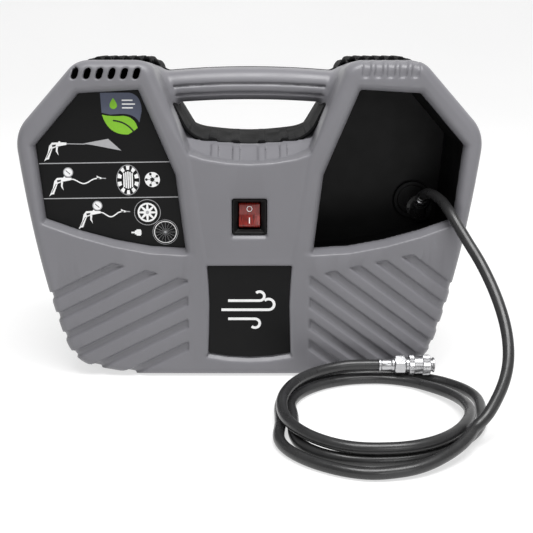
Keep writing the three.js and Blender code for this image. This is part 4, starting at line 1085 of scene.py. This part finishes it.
def hose_fittings():
    ferrule = turned_piece("crimped_ferrule", FERRULE, AXIS, zinc, "case", 64)
    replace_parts(reshaped(ferrule, crimped), "hose_ferrule")
    nut = turned_piece("coupler_nut", NUT, AXIS, zinc, "case", 96)
    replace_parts(reshaped(nut, hexagonal), "hose_nut")
    core = turned_piece("coupler_core", CORE, AXIS, zinc, "case", 72)
    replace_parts(crisp(core), "coupler_body")
    sleeve = turned_piece("coupler_ring", SLEEVE, AXIS, zinc, "sleeve", KNURL_TEETH * 4)
    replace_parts(reshaped(sleeve, knurled), "coupler_sleeve")


# Sections of the two turned pieces in the bay: (distance along its axis, radius).
START_FERRULE = [(5.5, 4.7), (5.5, 5.6), (6.0, 6.1), (9.4, 6.1), (10.0, 5.6), (10.4, 5.3), (13.2, 5.3),
                 (13.8, 4.7)]
CUP = [(0, 9.2), (0, 16.5), (1.2, 17.6), (3.6, 17.6), (4.4, 17.0), (4.4, 14.2), (2.2, 13.2), (2.2, 9.2)]
CUP_PLACE = (153, TRAY_BACK_Y, 146)


def bay_fittings():
    """A crimped ferrule where the hose starts, and a round cup behind it on the back wall of the bay."""
    start, ahead = (Vector([v * MM for v in HOSE_RUN[i]]) for i in (0, 1))
    turn = (ahead - start).to_track_quat("X", "Z").to_matrix().to_4x4()
    ferrule = turned_piece("hose_start_ferrule", START_FERRULE, (0, 0), zinc, "case", 48)
    ferrule.data.transform(Matrix.Translation(start) @ turn)
    crisp(ferrule)
    cup = turned_piece("bay_cup", CUP, (0, 0), recess_black_with_painted_shade, "case", 64)
    cup_place = Matrix.Translation(Vector(CUP_PLACE) * MM)
    cup.data.transform(cup_place @ Matrix.Rotation(-math.pi / 2, 4, "Z"))
    crisp(cup)


hose_fittings()
bay_fittings()

# ------------------ materials of the CAD pieces
SLOT_LOOKS = {
    "grey_plastic": grey_plastic, "black_plastic": black_plastic, "panel_film": panel_film,
    "red_lens": rocker_red, "rubber": rubber, "zinc": zinc, "steel": steel, "aluminium": aluminium,
    "copper": copper, "brass": brass, "nylon": nylon,
}
for row in frame["record"]["subparts"]:
    node = frame["nodes"][row["node"]]
    node.data.materials.clear()
    # The storage tray takes the darker black, whose darkening is painted shade.
    look = recess_black_with_painted_shade if row["node"] == "storage_tray" else SLOT_LOOKS[row["material_slot"]]
    node.data.materials.append(look)

# ------------------ floor and light
# In metres. The floor curves up from FLOOR_BACK.
FLOOR_HALF, FLOOR_FRONT, FLOOR_BACK, FLOOR_CURVE, FLOOR_TOP = 5, -5, 1.4, 1.2, 4
FLOOR_GLOW, WORLD_GLOW = 0.62, 0.36
LIT = (0, 0, 0.14)


def floor():
    """A pale sheet that runs back from under the object and curves up behind it."""
    mesh = bpy.data.meshes.new("floor")
    curve = [(FLOOR_BACK + FLOOR_CURVE * math.sin(t), FLOOR_CURVE - FLOOR_CURVE * math.cos(t))
             for t in np.linspace(0.1, math.pi / 2, 12)]
    profile = [(FLOOR_FRONT, 0), (FLOOR_BACK, 0), *curve, (FLOOR_BACK + FLOOR_CURVE, FLOOR_TOP)]
    points = [(side * FLOOR_HALF, y, z) for y, z in profile for side in (-1, 1)]
    mesh.from_pydata(points, [], [(i, i + 1, i + 3, i + 2) for i in range(0, len(points) - 2, 2)])
    mesh.polygons.foreach_set("use_smooth", [True] * len(mesh.polygons))
    look = Look("floor", (0.6, 0.6, 0.6), 0.6, Emission_Color=(1, 1, 1, 1), Emission_Strength=FLOOR_GLOW)
    look.tint(look.remap(look.noise(3, 3), 0, 1), (0.38, 0.38, 0.38), (0.40, 0.40, 0.40))
    mesh.materials.append(look.material)
    placed("floor", mesh)


def softbox(name, place, size, power):
    """An area light at place, in metres, turned to the middle of the case."""
    data = bpy.data.lights.new(name, "AREA")
    data.shape, data.size, data.size_y = "RECTANGLE", *size
    data.energy = power
    lamp = placed(name, data)
    lamp.location = place
    lamp.rotation_euler = (Vector(LIT) - Vector(place)).to_track_quat("-Z", "Y").to_euler()


floor()
softbox("overhead", (0.15, -0.52, 1.5), (1.3, 0.8), 30)
softbox("front_fill", (0.8, -1.9, 0.8), (1.0, 0.8), 6)
world = bpy.data.worlds.new("world")
world.use_nodes = True
world.node_tree.nodes["Background"].inputs["Color"].default_value = (1, 1, 1, 1)
world.node_tree.nodes["Background"].inputs["Strength"].default_value = WORLD_GLOW
bpy.context.scene.world = world
bpy.context.scene.view_settings.view_transform = "Standard"
